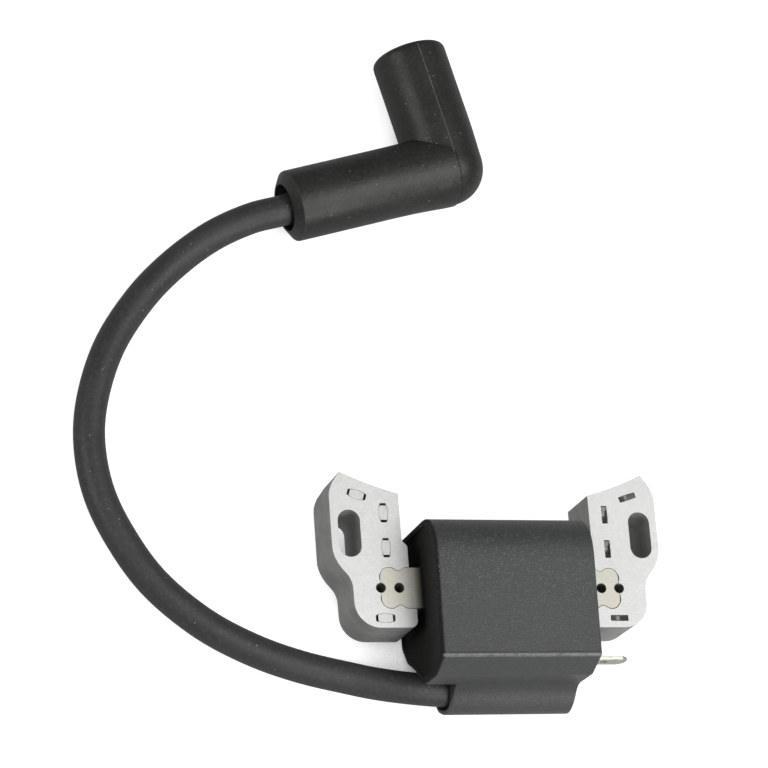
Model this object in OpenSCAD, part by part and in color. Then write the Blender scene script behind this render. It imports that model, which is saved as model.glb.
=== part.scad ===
// Ignition coil of a small engine: laminated core, potted coil case, ignition lead and plug boot.
// Origin: midway between the two mounting slots, on the seating face of the laminations.
// +X runs along the core bar, +Y towards the flywheel, +Z up through the stack.

/* [Node] */
// Sub-part to draw, or all of them

/* [Laminated core] */
// Height of the lamination stack
lam_t = 12.7; // [9:0.1:20]
// Distance between the mounting slots
slot_pitch = 66; // [50:0.5:80]
// Width of a mounting slot
slot_w = 4.9; // [4:0.1:7]
// End to end length of a mounting slot
slot_len = 10.4; // [5:0.1:16]
// Distance from the core bar's centre line up to the slots
slot_rise = 12; // [6:0.5:20]
// Height of the core bar across the stack
bar_h = 8.9; // [6:0.1:12]
// Half the length of the core bar
bar_half = 26.95; // [20:0.05:40]
// Diameter of the small holes at the bar's ends
pin_hole_d = 2.2; // [1:0.1:4]
// Radius of the flywheel that the pole faces follow
pole_r = 80; // [60:1:120]
// Outer half width across the two legs
leg_outer = 37.1; // [30:0.1:50]
// Distance of the leg's inner side from the middle
leg_inner = 21.6; // [15:0.1:30]
// Depth of a lanced interlock
lance_depth = 0.35; // [0.1:0.05:1]

/* [Case] */
// Half length of the case along the core bar
case_half = 17.7; // [12:0.1:25]
// Wall of the case
case_wall = 1.4; // [1:0.1:3]
// Height of the case's front over the front of the laminations
case_front = 11.25; // [6:0.05:16]
// Depth of the case's back behind the front of the laminations
case_back = 18.3; // [14:0.1:24]
// Top of the case over the bar's centre line
case_top = 14.1; // [8:0.1:18]
// Radius of the rounded front top corner
case_corner = 8.5; // [3:0.1:11]
// Bottom of the case under the bar's centre line
case_low = 19.95; // [14:0.05:24]
// Depth of the cast resin's surface in the open end
resin_recess = 0.8; // [0.2:0.1:3]

/* [Tower] */
// Outer radius of the high-tension tower
tower_r = 5.2; // [4.6:0.1:8]
// Tower axis under the bar's centre line
tower_drop = 19.4; // [14:0.1:24]
// Position of the tower's mouth along the bar
tower_mouth = -10.3; // [-17:0.1:0]
// Radius of the fillet between the case and the tower
tower_fillet = 3; // [1:0.1:6]
// Radius of the bore round the lead
tower_bore = 3.6; // [3.5:0.05:4]
// Radius of the wider mouth
tower_lip = 4.1; // [3.6:0.1:4.8]

/* [Windings] */
// Wall of the primary bobbin
pri_wall = 0.8; // [0.5:0.1:1.5]
// Build of the primary winding
pri_build = 1.3; // [0.5:0.1:3]
// Film between the windings
film_t = 0.2; // [0.1:0.05:0.5]
// Wall of the secondary bobbin
sec_wall = 0.7; // [0.5:0.1:1.5]
// Build of the secondary winding
sec_build = 0.75; // [0.5:0.05:3]
// Half length of both bobbins
bobbin_half = 15.5; // [10:0.1:16]
// Thickness of a bobbin flange
flange_t = 1; // [0.5:0.1:2]

/* [Stop tab] */
// Width of the spade tab
tab_w = 4.75; // [4:0.05:6.5]
// Thickness of the spade tab
tab_t = 0.8; // [0.5:0.1:1]
// Length of the tab outside the case
tab_len = 9; // [6:0.1:14]
// Tab under the bar's centre line
tab_drop = 16; // [10:0.1:18]

/* [Lead and boot] */
// Diameter of the ignition lead
lead_d = 7; // [5:0.1:8]
// Radius of the boot's arm round the lead
boot_r1 = 8.1; // [6:0.1:12]
// Radius of the boot's arm over the spark plug
boot_r2 = 8.6; // [7:0.1:12]
// Length of the lead arm from the elbow
boot_len1 = 39.7; // [25:0.1:60]
// Length of the plug arm from the elbow
boot_len2 = 28.8; // [20:0.1:50]
// Direction of the lead arm in plan
boot_dir = 15.7; // [-90:0.1:90]
// Angle between the boot's two arms
boot_bend = 88.6; // [60:0.1:180]
// Radius of the bore for the plug's insulator
plug_bore = 5.2; // [4:0.1:7]
// Length of that bore
plug_bore_len = 13; // [8:0.5:25]
// Radius of the bore in the plug terminal
nut_bore = 3.2; // [2:0.05:4]
// Length of that bore
nut_len = 9; // [5:0.5:12]

/* [Hidden] */
core_y = -slot_rise;
core_z = lam_t / 2;
tower_z = tower_r - case_back;
corner_y = case_top - case_corner;
corner_z = case_front - case_corner;
run_gap = 0.05;
pin_r = pin_hole_d / 2;
pri_y = bar_h / 2 + 0.1 + pri_wall;
pri_z = core_z + 0.1 + pri_wall;
sec_y = pri_y + pri_build + film_t + sec_wall;
sec_z = pri_z + pri_build + film_t + sec_wall;
coil_y = sec_y + sec_build;
coil_z = sec_z + sec_build;
resin_x = resin_recess - case_half;
inner_end = case_half - case_wall;
floor_z = lam_t - case_back;
boot_z = floor_z + boot_r2;
elbow = [-1, 89, boot_z];
lead_bore_len = 21;
barrel_out = 4.05;
barrel_in = lead_d / 2 + run_gap;
chamber_r = 4.9;
lead_r = lead_d / 2;
lie_z = floor_z + lead_r;
lead_in = 1;
lead_stop = 8;
boot_x = [cos(boot_dir), sin(boot_dir), 0];
lead_sides = 12;
route_steps = 3;

// The lead's own route: out of the tower, down to the surface, round one loop and up into the boot.
route = [
    [lead_in, core_y - tower_drop, lam_t + tower_z],
    [-5, core_y - tower_drop, lam_t + tower_z],
    [-11, core_y - tower_drop, lam_t + tower_z],
    [-17.5, -30.8, -0.6],
    [-24.5, -29.6, lie_z + 0.6],
    [-31, -28.1, lie_z],
    [-42, -25.4, lie_z],
    [-52.5, -21.5, lie_z],
    [-63, -15.6, lie_z],
    [-73, -6.7, lie_z],
    [-80, 4, lie_z],
    [-84, 14, lie_z],
    [-85.3, 25, lie_z],
    [-83.8, 35.5, lie_z],
    [-79.6, 46.8, lie_z],
    [-72.4, 57.6, lie_z],
    [-64.5, 65.8, lie_z + 0.2],
    [-56, 72, lie_z + 1.6],
    [-47.5, 75.8, boot_z - 1.7],
    elbow - (boot_len1 + 1) * boot_x + [0, -0.5, -0.2],
    elbow - (boot_len1 - 6) * boot_x,
    elbow - (boot_len1 - 20) * boot_x,
    elbow - lead_stop * boot_x
];

function blend(a, b, c, d, t) = 0.5 * (2 * b + (c - a) * t
    + (2 * a - 5 * b + 4 * c - d) * t * t + (3 * b - a - 3 * c + d) * t * t * t);
function pt(i) = route[max(0, min(len(route) - 1, i))];
function path() = [
    for (i = [0 : len(route) - 2])
        for (k = [0 : route_steps - 1])
            blend(pt(i - 1), pt(i), pt(i + 1), pt(i + 2), k / route_steps),
    route[len(route) - 1]
];
function unit(v) = v / norm(v);
function run(p, i) = unit(p[min(i + 1, len(p) - 1)] - p[max(i - 1, 0)]);
function side(d) = unit(cross(d, [0, 0, 1]));
function ring(c, d, r) = [
    for (k = [0 : lead_sides - 1])
        c + r * cos(360 * k / lead_sides) * side(d)
          + r * sin(360 * k / lead_sides) * cross(side(d), d)
];

// Draws a section given as (Y, Z) from x0 to x1.
module along_x(x0, x1) {
    translate([x0, 0, 0])
        rotate([90, 0, 90])
            linear_extrude(x1 - x0)
                children();
}

// A solid cylinder along +X.
module rod_x(r, x0, x1) {
    translate([x0, 0, 0])
        rotate([0, 90, 0])
            cylinder(r = r, h = x1 - x0, $fn = 48);
}

// A rectangular sleeve round the core bar.
module sleeve(y_in, z_in, y_out, z_out, x0, x1) {
    translate([0, core_y, core_z])
        difference() {
            translate([x0, -y_out, -z_out])
                cube([x1 - x0, 2 * y_out, 2 * z_out]);
            translate([x0 - 1, -y_in, -z_in])
                cube([x1 - x0 + 2, 2 * y_in, 2 * z_in]);
        }
}

// One end of the core bar seen along the stack.
module bar_end() {
    polygon([
        [-1, -bar_h / 2], [21.2, -bar_h / 2], [21.9, -4.15], [22.4, -3.8],
        [22.85, -3.7], [23.3, -3.8], [23.8, -4.15], [24.4, -4.42],
        [25.3, -bar_h / 2], [26.1, -4.2], [26.7, -3.55], [bar_half, -2.85],
        [bar_half, 2.85], [26.7, 3.55], [26.1, 4.2], [25.3, bar_h / 2],
        [24.4, 4.42], [23.8, 4.15], [23.3, 3.8], [22.85, 3.7],
        [22.4, 3.8], [21.9, 4.15], [21.2, bar_h / 2], [-1, bar_h / 2]
    ]);
}

// The right leg's outline, bar pocket still closed.
module leg_outline() {
    difference() {
        union() {
            polygon([
                [20.4, -8.7], [27.45, -8.7], [33.05, -3.1], [33.1, 0.3],
                [33.6, 2.06], [34.65, 3.53], [35.97, 5.3], [36.85, 7.5],
                [leg_outer, 8.8], [leg_outer, 20.5], [36.6, 22.3], [36.2, 23.2],
                [34.4, 25.75], [leg_inner, 25.75], [leg_inner, 10.4],
                [20.4, 9.2], [20.4, 4.4], [19.3, 4.4], [19.3, -7.1],
                [20.9, -8.7]
            ]);
            translate([27.45, -3.1])
                circle(r = 5.6, $fn = 96);
            translate([20.9, -7.1])
                circle(r = 1.6, $fn = 48);
        }
        translate([0, slot_rise + pole_r + 5.9])
            circle(r = pole_r, $fn = 360);
        translate([19, 4.2])
            square([1.4, 1]);
    }
}

// A slotted hole standing along Y.
module slot_shape() {
    reach = (slot_len - slot_w) / 2;
    square([slot_w, 2 * reach], center = true);
    translate([0, reach])
        circle(d = slot_w, $fn = 64);
    translate([0, -reach])
        circle(d = slot_w, $fn = 64);
}

// A lanced interlock, turned in the plane of the sheet.
module lance(x, y, turn) {
    translate([x, y, lam_t - lance_depth])
        rotate([0, 0, turn])
            translate([-2.05, -0.65, 0])
                cube([4.1, 1.3, 2]);
}

// The right leg in place.
module leg() {
    translate([0, core_y, 0])
        difference() {
            linear_extrude(lam_t)
                difference() {
                    leg_outline();
                    bar_end();
                    translate([slot_pitch / 2, slot_rise])
                        slot_shape();
                    translate([bar_half, 0])
                        circle(r = pin_r, $fn = 32);
                }
            lance(30.9, 20.6, 18);
            lance(25.2, 16.6, 90);
            lance(25.15, 8.85, 90);
            lance(26.4, -6.6, 0);
        }
}

// The case's outside section as (Y, Z), drawn in by w on every side.
module case_section(w) {
    translate([core_y, lam_t]) {
        polygon([
            [case_top - w, w - case_back], [case_top - w, corner_z],
            [corner_y, case_front - w], [corner_y - 2, case_front - w],
            [w - 17, 10.35 - w], [w - 17.3, 10.1 - w],
            [w - case_low, 3.6 - 0.5 * w],
            [w - case_low, 0.3 * w - 5], [0.75 * w - 14.6, 0.65 * w - 11.4],
            [0.75 * w - 11.2, 0.65 * w - 15.9],
            [0.6 * w - 9.8, 0.8 * w - 17.5], [0.3 * w - 7.8, w - case_back]
        ]);
        translate([corner_y, corner_z])
            circle(r = case_corner - w, $fn = 96);
    }
}

// The tower's section with its web to the case, round the tower's axis.
module tower_section() {
    reach = tower_r + tower_fillet;
    down = tower_drop - case_low - tower_fillet;
    off = sqrt(reach * reach - down * down);
    start = atan2(-off, -down);
    translate([core_y - tower_drop, lam_t + tower_z]) {
        circle(r = tower_r, $fn = 96);
        polygon(concat(
            [[0, 0]],
            [
                for (k = [0 : 6])
                    [
                        down + tower_fillet * cos(start * (1 - k / 6)),
                        off + tower_fillet * sin(start * (1 - k / 6))
                    ]
            ],
            [[3, off], [tower_drop - 11, 0], [tower_drop - 7.8, -tower_r], [0, -tower_r]]
        ));
    }
}

module pole_left() {
    color([0.72, 0.73, 0.72])
        mirror([1, 0, 0])
            leg();
}

module pole_right() {
    color([0.72, 0.73, 0.72])
        leg();
}

module core_bar() {
    color([0.76, 0.74, 0.68])
        translate([0, core_y, 0])
            linear_extrude(lam_t)
                difference() {
                    union() {
                        bar_end();
                        mirror([1, 0])
                            bar_end();
                    }
                    for (s = [-1, 1]) {
                        translate([s * bar_half, 0])
                            circle(r = pin_r, $fn = 32);
                        translate([s * 22.87, 0])
                            circle(r = pin_r, $fn = 32);
                    }
                }
}

module coil_case() {
    color([0.14, 0.15, 0.15])
        difference() {
            union() {
                along_x(-case_half, case_half)
                    case_section(0);
                along_x(tower_mouth, case_half)
                    tower_section();
            }
            along_x(-case_half - 1, inner_end)
                case_section(case_wall);
            translate([0, core_y, core_z])
                translate([0, -bar_h / 2 - 0.1, -core_z - 0.1])
                    cube([case_half + 5, bar_h + 0.2, lam_t + 0.2]);
            translate([0, core_y - tower_drop, lam_t + tower_z]) {
                rod_x(tower_bore, tower_mouth - 1, 8);
                rod_x(tower_lip, tower_mouth - 1, tower_mouth + 3);
            }
            link_rod(0.4);
            tab_blade();
        }
}

// The wire from the tower's end up to the secondary winding.
module link_rod(r) {
    translate([6, core_y - tower_drop, lam_t + tower_z])
        rotate([-58.4, 0, 0])
            cylinder(r = r, h = 12, $fn = 24);
}

// The stop tab's blade.
module tab_blade() {
    translate([10, core_y - tab_drop - tab_t / 2, lam_t - tab_w / 2])
        cube([case_half - 10 + tab_len, tab_t, tab_w]);
}

module cast_resin() {
    color([0.1, 0.1, 0.1])
        difference() {
            along_x(resin_x, inner_end)
                case_section(case_wall);
            translate([-30, core_y - bar_h / 2, 0])
                cube([60, bar_h, lam_t]);
            translate([-bobbin_half, core_y - coil_y, core_z - coil_z])
                cube([2 * bobbin_half, 2 * coil_y, 2 * coil_z]);
            board_box();
            transistor_box();
            capacitor_box();
            resistor_rods();
            primary_rods();
            earth_shape();
            tab_rod();
            tab_blade();
            link_rod(0.4);
        }
}

module primary_bobbin() {
    in_y = bar_h / 2 + 0.1;
    in_z = core_z + 0.1;
    rim_y = pri_y + pri_build;
    rim_z = pri_z + pri_build;
    color([0.85, 0.82, 0.72]) {
        sleeve(in_y, in_z, pri_y, pri_z, -bobbin_half, bobbin_half);
        sleeve(in_y, in_z, rim_y, rim_z, -bobbin_half, flange_t - bobbin_half);
        sleeve(in_y, in_z, rim_y, rim_z, bobbin_half - flange_t, bobbin_half);
    }
}

module primary_winding() {
    color([0.72, 0.4, 0.2])
        sleeve(pri_y, pri_z, pri_y + pri_build, pri_z + pri_build,
               flange_t - bobbin_half, bobbin_half - flange_t);
}

module winding_film() {
    color([0.9, 0.82, 0.5])
        sleeve(pri_y + pri_build, pri_z + pri_build,
               pri_y + pri_build + film_t, pri_z + pri_build + film_t,
               -bobbin_half, bobbin_half);
}

module secondary_bobbin() {
    color([0.88, 0.86, 0.78])
        union() {
            sleeve(sec_y - sec_wall, sec_z - sec_wall, sec_y, sec_z, -bobbin_half, bobbin_half);
            for (k = [0 : 4])
                sleeve(sec_y - sec_wall, sec_z - sec_wall, coil_y, coil_z,
                       -bobbin_half + k * (2 * bobbin_half - flange_t) / 4,
                       -bobbin_half + k * (2 * bobbin_half - flange_t) / 4 + flange_t);
        }
}

module secondary_winding() {
    color([0.6, 0.3, 0.14])
        for (k = [0 : 3])
            sleeve(sec_y, sec_z, coil_y, coil_z,
                   -bobbin_half + k * (2 * bobbin_half - flange_t) / 4 + flange_t,
                   -bobbin_half + (k + 1) * (2 * bobbin_half - flange_t) / 4);
}

module board_box() {
    translate([-11, core_y - 9, lam_t + 5])
        cube([22, 16, 1]);
}

module circuit_board() {
    color([0.1, 0.35, 0.18])
        board_box();
}

module transistor_box() {
    translate([-9, core_y - 6, lam_t + 6])
        cube([8, 11, 2.8]);
}

module switching_transistor() {
    color([0.08, 0.08, 0.08])
        transistor_box();
}

module resistor_rods() {
    for (y = [0.5, 4])
        translate([0, core_y + y, lam_t + 7.1])
            rod_x(1.1, 2, 8.5);
}

module board_resistors() {
    color([0.75, 0.62, 0.42])
        resistor_rods();
}

module capacitor_box() {
    translate([2.5, core_y - 6.5, lam_t + 6])
        cube([6, 3, 2.7]);
}

module board_capacitor() {
    color([0.75, 0.45, 0.1])
        capacitor_box();
}

// One lead up the end of the bobbin and one across to the board, at each end.
module primary_rods() {
    for (s = [-1, 1])
        union() {
            translate([s * 15.9, core_y + 5, lam_t + 2.1])
                cylinder(r = 0.4, h = 3.9, $fn = 24);
            translate([0, core_y + 5, lam_t + 5.5])
                rod_x(0.3, s < 0 ? -15.9 : 11, s < 0 ? -11 : 15.9);
        }
}

module primary_leads() {
    color([0.72, 0.4, 0.2])
        primary_rods();
}

module earth_shape() {
    union() {
        translate([-16.4, core_y - 3, lam_t])
            cube([0.5, 3, 5.8]);
        translate([-16.4, core_y - 3, lam_t + 5.3])
            cube([5.4, 3, 0.5]);
    }
}

module earth_strip() {
    color([0.72, 0.6, 0.3])
        earth_shape();
}

// The wire from the board's edge to the stop tab.
module tab_rod() {
    translate([10.6, core_y - 15.6, lam_t + 1.5])
        rotate([-58.8, 0, 0])
            cylinder(r = 0.4, h = 7.2, $fn = 24);
}

module tab_wire() {
    color([0.7, 0.68, 0.62])
        difference() {
            tab_rod();
            board_box();
            tab_blade();
        }
}

module stop_tab() {
    tip = case_half + tab_len;
    color([0.8, 0.79, 0.74])
        difference() {
            tab_blade();
            translate([tip - 5, core_y - tab_drop, lam_t])
                rotate([90, 0, 0])
                    cylinder(r = 0.8, h = 4, center = true, $fn = 32);
            for (s = [-1, 1])
                translate([tip, core_y - tab_drop, lam_t + s * tab_w / 2])
                    rotate([0, 45, 0])
                        cube([1.4, 4, 1.4], center = true);
        }
}

module tension_link() {
    color([0.72, 0.4, 0.2])
        difference() {
            link_rod(0.4);
            translate([0, core_y - tower_drop, lam_t + tower_z])
                rod_x(0.8, 1.2, 8);
        }
}

module tower_spike() {
    color([0.74, 0.74, 0.72])
        translate([0, core_y - tower_drop, lam_t + tower_z])
            rotate([0, 90, 0])
                rotate_extrude($fn = 48)
                    polygon([[0, 1.2], [0.8, 3.4], [0.8, 7], [2.4, 7], [2.4, 8], [0, 8]]);
}

module ignition_lead() {
    p = path();
    n = len(p);
    m = lead_sides;
    verts = [for (i = [0 : n - 1]) each ring(p[i], run(p, i), lead_r)];
    walls = [
        for (i = [0 : n - 2])
            for (k = [0 : m - 1])
                each [
                    [i * m + k, i * m + (k + 1) % m, (i + 1) * m + (k + 1) % m],
                    [i * m + k, (i + 1) * m + (k + 1) % m, (i + 1) * m + k]
                ]
    ];
    first = [[for (k = [0 : m - 1]) m - 1 - k]];
    last = [[for (k = [0 : m - 1]) (n - 1) * m + k]];
    color([0.13, 0.14, 0.13])
        polyhedron(points = verts, faces = concat(first, walls, last), convexity = 8);
}

// Places a child built with its lead arm along -X and its plug arm along +Y.
module at_elbow() {
    translate(elbow)
        rotate([0, 0, boot_dir])
            children();
}

// Turns a child drawn along +Z onto the plug arm.
module up_plug_arm() {
    rotate([0, 0, boot_bend - 90])
        rotate([-90, 0, 0])
            children();
}

module plug_terminal() {
    color([0.74, 0.73, 0.7])
        at_elbow()
            difference() {
                union() {
                    rod_x(barrel_out, -17, -6);
                    translate([-6.5, -1.5, -2])
                        cube([4, 3, 4]);
                    up_plug_arm()
                        translate([0, 0, 1])
                            cylinder(r = 4, h = nut_len + 2, $fn = 64);
                }
                rod_x(barrel_in, -20, -7.5);
                up_plug_arm()
                    translate([0, 0, 3])
                        cylinder(r = nut_bore, h = nut_len + 5, $fn = 64);
            }
}

module terminal_spring() {
    color([0.66, 0.66, 0.64])
        at_elbow()
            up_plug_arm()
                translate([0, 0, 8])
                    rotate_extrude($fn = 64)
                        translate([4.4, 0])
                            circle(r = 0.4, $fn = 24);
}

module plug_boot() {
    color([0.11, 0.11, 0.11])
        at_elbow()
            difference() {
                union() {
                    rod_x(boot_r1, -boot_len1, 0);
                    sphere(r = boot_r2, $fn = 64);
                    up_plug_arm()
                        cylinder(r = boot_r2, h = boot_len2, $fn = 96);
                }
                rod_x(barrel_in, -boot_len1 - 1, -17);
                rod_x(5.4, -boot_len1 - 1, -boot_len1 + 5);
                rod_x(barrel_out + 0.1, lead_bore_len - boot_len1, 0);
                up_plug_arm() {
                    translate([0, 0, -4])
                        cylinder(r = chamber_r, h = boot_len2, $fn = 64);
                    translate([0, 0, boot_len2 - plug_bore_len])
                        cylinder(r = plug_bore, h = plug_bore_len + 1, $fn = 64);
                }
            }
}

pole_left();
pole_right();
core_bar();
coil_case();
cast_resin();
primary_bobbin();
primary_winding();
winding_film();
secondary_bobbin();
secondary_winding();
circuit_board();
switching_transistor();
board_resistors();
board_capacitor();
primary_leads();
earth_strip();
tab_wire();
stop_tab();
tension_link();
tower_spike();
ignition_lead();
plug_terminal();
terminal_spring();
plug_boot();
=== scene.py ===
# %% [markdown]
# # An ignition coil for a small engine
# The coil is a short iron core in the shape of a C. Copper windings sit on its
# middle bar inside a black moulded case, and a thick rubber lead carries the
# spark to a right-angle boot that pushes over the spark plug. The sizes come
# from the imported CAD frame. This script gives every piece its real surface.

# %% Load the frame and keep the CAD box
import math

import bmesh
import bpy
from mathutils import Matrix, Vector, noise


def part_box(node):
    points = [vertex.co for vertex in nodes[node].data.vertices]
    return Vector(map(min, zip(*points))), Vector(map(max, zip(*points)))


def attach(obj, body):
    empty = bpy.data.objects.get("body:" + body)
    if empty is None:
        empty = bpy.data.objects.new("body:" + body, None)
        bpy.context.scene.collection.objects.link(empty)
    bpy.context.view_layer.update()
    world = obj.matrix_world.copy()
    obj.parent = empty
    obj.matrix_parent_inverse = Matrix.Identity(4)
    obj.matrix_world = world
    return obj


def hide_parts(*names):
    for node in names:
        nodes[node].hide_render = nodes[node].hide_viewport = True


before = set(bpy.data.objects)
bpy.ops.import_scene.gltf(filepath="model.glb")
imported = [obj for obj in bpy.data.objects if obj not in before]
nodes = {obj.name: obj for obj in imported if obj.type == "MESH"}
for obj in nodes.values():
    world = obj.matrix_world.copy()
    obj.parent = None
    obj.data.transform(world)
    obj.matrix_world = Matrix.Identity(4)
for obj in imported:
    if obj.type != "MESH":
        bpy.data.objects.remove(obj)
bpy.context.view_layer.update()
# One millimetre in metres. Outlines are in millimetres, meshes and shaders in metres.
MM = 0.001
bar_low, bar_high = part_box("core_bar")
STACK = round(bar_high.z / MM, 2)
CORE_Y = round((bar_low.y + bar_high.y) / 2 / MM, 2)
FLOOR_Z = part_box("coil_case")[0].z
print("stack height and bar line, mm:", STACK, CORE_Y)

# %% [markdown]
# ## Camera, floor and light
# A small part is best shown from well back with a long lens, so that its near
# and far ends come out almost the same size. The coil lies on its back, and
# the camera looks down on it from the front left. One big soft panel hangs
# overhead, and two weaker ones stand in front and at the left. The bench glows
# a little for the room and strongly for the camera, as a lit white table does,
# and its glow fades where something covers it: a painted shadow under and
# beside the coil.

# %% Camera
LENS_MM = 142.26
EYE = Vector((-0.21017, -0.17196, 0.60967))
RIGHT = Vector((0.95847, -0.07197, 0.27596))
DOWN = Vector((0.02093, -0.94727, -0.31975))
AHEAD = Vector((0.28442, 0.31224, -0.90643))

camera_data = bpy.data.cameras.new("long_lens")
camera_data.lens = LENS_MM
camera_data.sensor_width = 36.0
camera_data.clip_start = 0.05
camera = bpy.data.objects.new("long_lens", camera_data)
bpy.context.scene.collection.objects.link(camera)
turned = Matrix((RIGHT, -DOWN, -AHEAD)).transposed().to_4x4()
camera.matrix_world = Matrix.Translation(EYE) @ turned
bpy.context.scene.camera = camera
bpy.context.scene.view_settings.view_transform = "Standard"
print("camera stands", round(EYE.length, 3), "m from the origin")

# %% Bench
# Half the bench's width in metres, and the grey of its paint.
BENCH_HALF = 4
BENCH_GREY = 0.34
# How strongly the bench glows for the room, and for the camera.
GLOW_ROOM = 0.18
GLOW_CAMERA = 0.92
# How near something has to be to cover the bench, in metres.
COVER_REACH = 0.03
# Shares of open space above the bench at which it stops glowing and glows fully.
COVERED, OPEN = 0.08, 0.28

square = [(-1, -1), (1, -1), (1, 1), (-1, 1)]
floor_corners = [(x * BENCH_HALF, y * BENCH_HALF, FLOOR_Z) for x, y in square]
floor_mesh = bpy.data.meshes.new("bench")
floor_mesh.from_pydata(floor_corners, [], [(0, 1, 2, 3)])
bench = bpy.data.objects.new("bench", floor_mesh)
bpy.context.scene.collection.objects.link(bench)
bench_paint = bpy.data.materials.new("bench_paint")
bench_paint.use_nodes = True
paint = bench_paint.node_tree.nodes["Principled BSDF"]
paint.inputs["Base Color"].default_value = (BENCH_GREY, BENCH_GREY, BENCH_GREY, 1)
paint.inputs["Emission Color"].default_value = (1, 1, 1, 1)
seen = bench_paint.node_tree.nodes.new("ShaderNodeLightPath")
glow = bench_paint.node_tree.nodes.new("ShaderNodeMapRange")
glow.inputs["To Min"].default_value = GLOW_ROOM
glow.inputs["To Max"].default_value = GLOW_CAMERA
# Where something covers the bench its glow fades: a painted shadow under and beside the coil.
cover = bench_paint.node_tree.nodes.new("ShaderNodeAmbientOcclusion")
cover.inputs["Distance"].default_value = COVER_REACH
cover.samples = 8
uncovered = bench_paint.node_tree.nodes.new("ShaderNodeMapRange")
uncovered.inputs["From Min"].default_value = COVERED
uncovered.inputs["From Max"].default_value = OPEN
glowing = bench_paint.node_tree.nodes.new("ShaderNodeMath")
glowing.operation = "MULTIPLY"
for start, end in (
    (seen.outputs["Is Camera Ray"], glow.inputs["Value"]),
    (cover.outputs["AO"], uncovered.inputs["Value"]),
    (glow.outputs["Result"], glowing.inputs[0]),
    (uncovered.outputs["Result"], glowing.inputs[1]),
    (glowing.outputs[0], paint.inputs["Emission Strength"]),
):
    bench_paint.node_tree.links.new(start, end)
paint.inputs["Roughness"].default_value = 0.9
paint.inputs["Specular IOR Level"].default_value = 0.0
floor_mesh.materials.append(bench_paint)
print("bench height, mm:", round(FLOOR_Z / MM, 2))

# %% Soft panels and room light
def panel(name, place, aim, size, power):
    """A square soft light at place, facing aim."""
    data = bpy.data.lights.new(name, "AREA")
    data.size = size
    data.energy = power
    lamp = bpy.data.objects.new(name, data)
    bpy.context.scene.collection.objects.link(lamp)
    lamp.location = place
    facing = (Vector(aim) - Vector(place)).to_track_quat("-Z", "Y")
    lamp.rotation_mode = "QUATERNION"
    lamp.rotation_quaternion = facing


panel("front", (0.34, -1.0, 0.6), (-0.02, 0.0, 0), 0.35, 5.0)
panel("overhead", (0.44, -0.29, 1.09), (0.0, 0.0, 0), 1.0, 12.0)
panel("left", (-0.95, 0.1, 0.6), (-0.02, 0.02, 0), 0.6, 3.8)

world = bpy.data.worlds.new("studio_room")
world.use_nodes = True
room = world.node_tree.nodes["Background"]
room.inputs["Color"].default_value = (0.98, 0.99, 1.0, 1)
room.inputs["Strength"].default_value = 0.1
bpy.context.scene.world = world

# %% [markdown]
# ## The ignition lead
# The lead is 7 mm rubber cable. It leaves the tower level, drops to the bench
# within three diameters, lies round in one open loop and lifts again into the
# boot. A curve with a round bevel is the natural model: its own line is the
# cable's centre line, so its length can be measured. The points are the CAD
# route's own, joined by the same smooth blend.

# %% Lead route
LEAD_R = 3.5
ELBOW_R = 8.6
# Heights of the lead's centre line on the bench, and of the boot's.
LIE = FLOOR_Z / MM + LEAD_R
BOOT_Z = FLOOR_Z / MM + ELBOW_R
ELBOW = Vector((-1.0, 89.0, BOOT_Z))
LEAD_TURN = math.radians(15.7)
LEAD_ARM = Vector((math.cos(LEAD_TURN), math.sin(LEAD_TURN), 0))
# The tower's tube, measured from the bar's centre line at the front face.
TUBE_Y, TUBE_Z = -19.4, -13.1
TOWER_Y = CORE_Y + TUBE_Y
TOWER_Z = round(STACK + TUBE_Z, 2)
ROUTE = [
    (1, TOWER_Y, TOWER_Z),
    (-5, TOWER_Y, TOWER_Z),
    (-11, TOWER_Y, TOWER_Z),
    (-17.5, -30.8, -0.6),
    (-24.5, -29.6, LIE + 0.6),
    (-31, -28.1, LIE),
    (-42, -25.4, LIE),
    (-52.5, -21.5, LIE),
    (-63, -15.6, LIE),
    (-73, -6.7, LIE),
    (-80, 4, LIE),
    (-84, 14, LIE),
    (-85.3, 25, LIE),
    (-83.8, 35.5, LIE),
    (-79.6, 46.8, LIE),
    (-72.4, 57.6, LIE),
    (-64.5, 65.8, LIE + 0.2),
    (-56, 72, LIE + 1.6),
    (-47.5, 75.8, BOOT_Z - 1.7),
    tuple(ELBOW - 40.7 * LEAD_ARM + Vector((0, -0.5, -0.2))),
    tuple(ELBOW - 33.7 * LEAD_ARM),
    tuple(ELBOW - 19.7 * LEAD_ARM),
    tuple(ELBOW - 8.0 * LEAD_ARM),
]


def smooth_line(points, steps):
    """Points on the smooth line that passes through all of points."""
    line = []
    last = len(points) - 1
    for i in range(last):
        a, b, c, d = (Vector(points[max(0, min(last, i + k))]) for k in (-1, 0, 1, 2))
        for k in range(steps):
            t = k / steps
            spot = 2 * b + (c - a) * t
            spot += (2 * a - 5 * b + 4 * c - d) * t * t
            spot += (3 * b - a - 3 * c + d) * t * t * t
            line.append(0.5 * spot)
    return line + [Vector(points[last])]


lead_line = [p * MM for p in smooth_line(ROUTE, 6)]

# %% Lead piece
def made_mesh(holder):
    """The mesh that an object's curve or modifiers give; the object is used up."""
    bpy.context.scene.collection.objects.link(holder)
    depsgraph = bpy.context.evaluated_depsgraph_get()
    mesh = bpy.data.meshes.new_from_object(holder.evaluated_get(depsgraph))
    bpy.data.objects.remove(holder)
    return mesh


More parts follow.
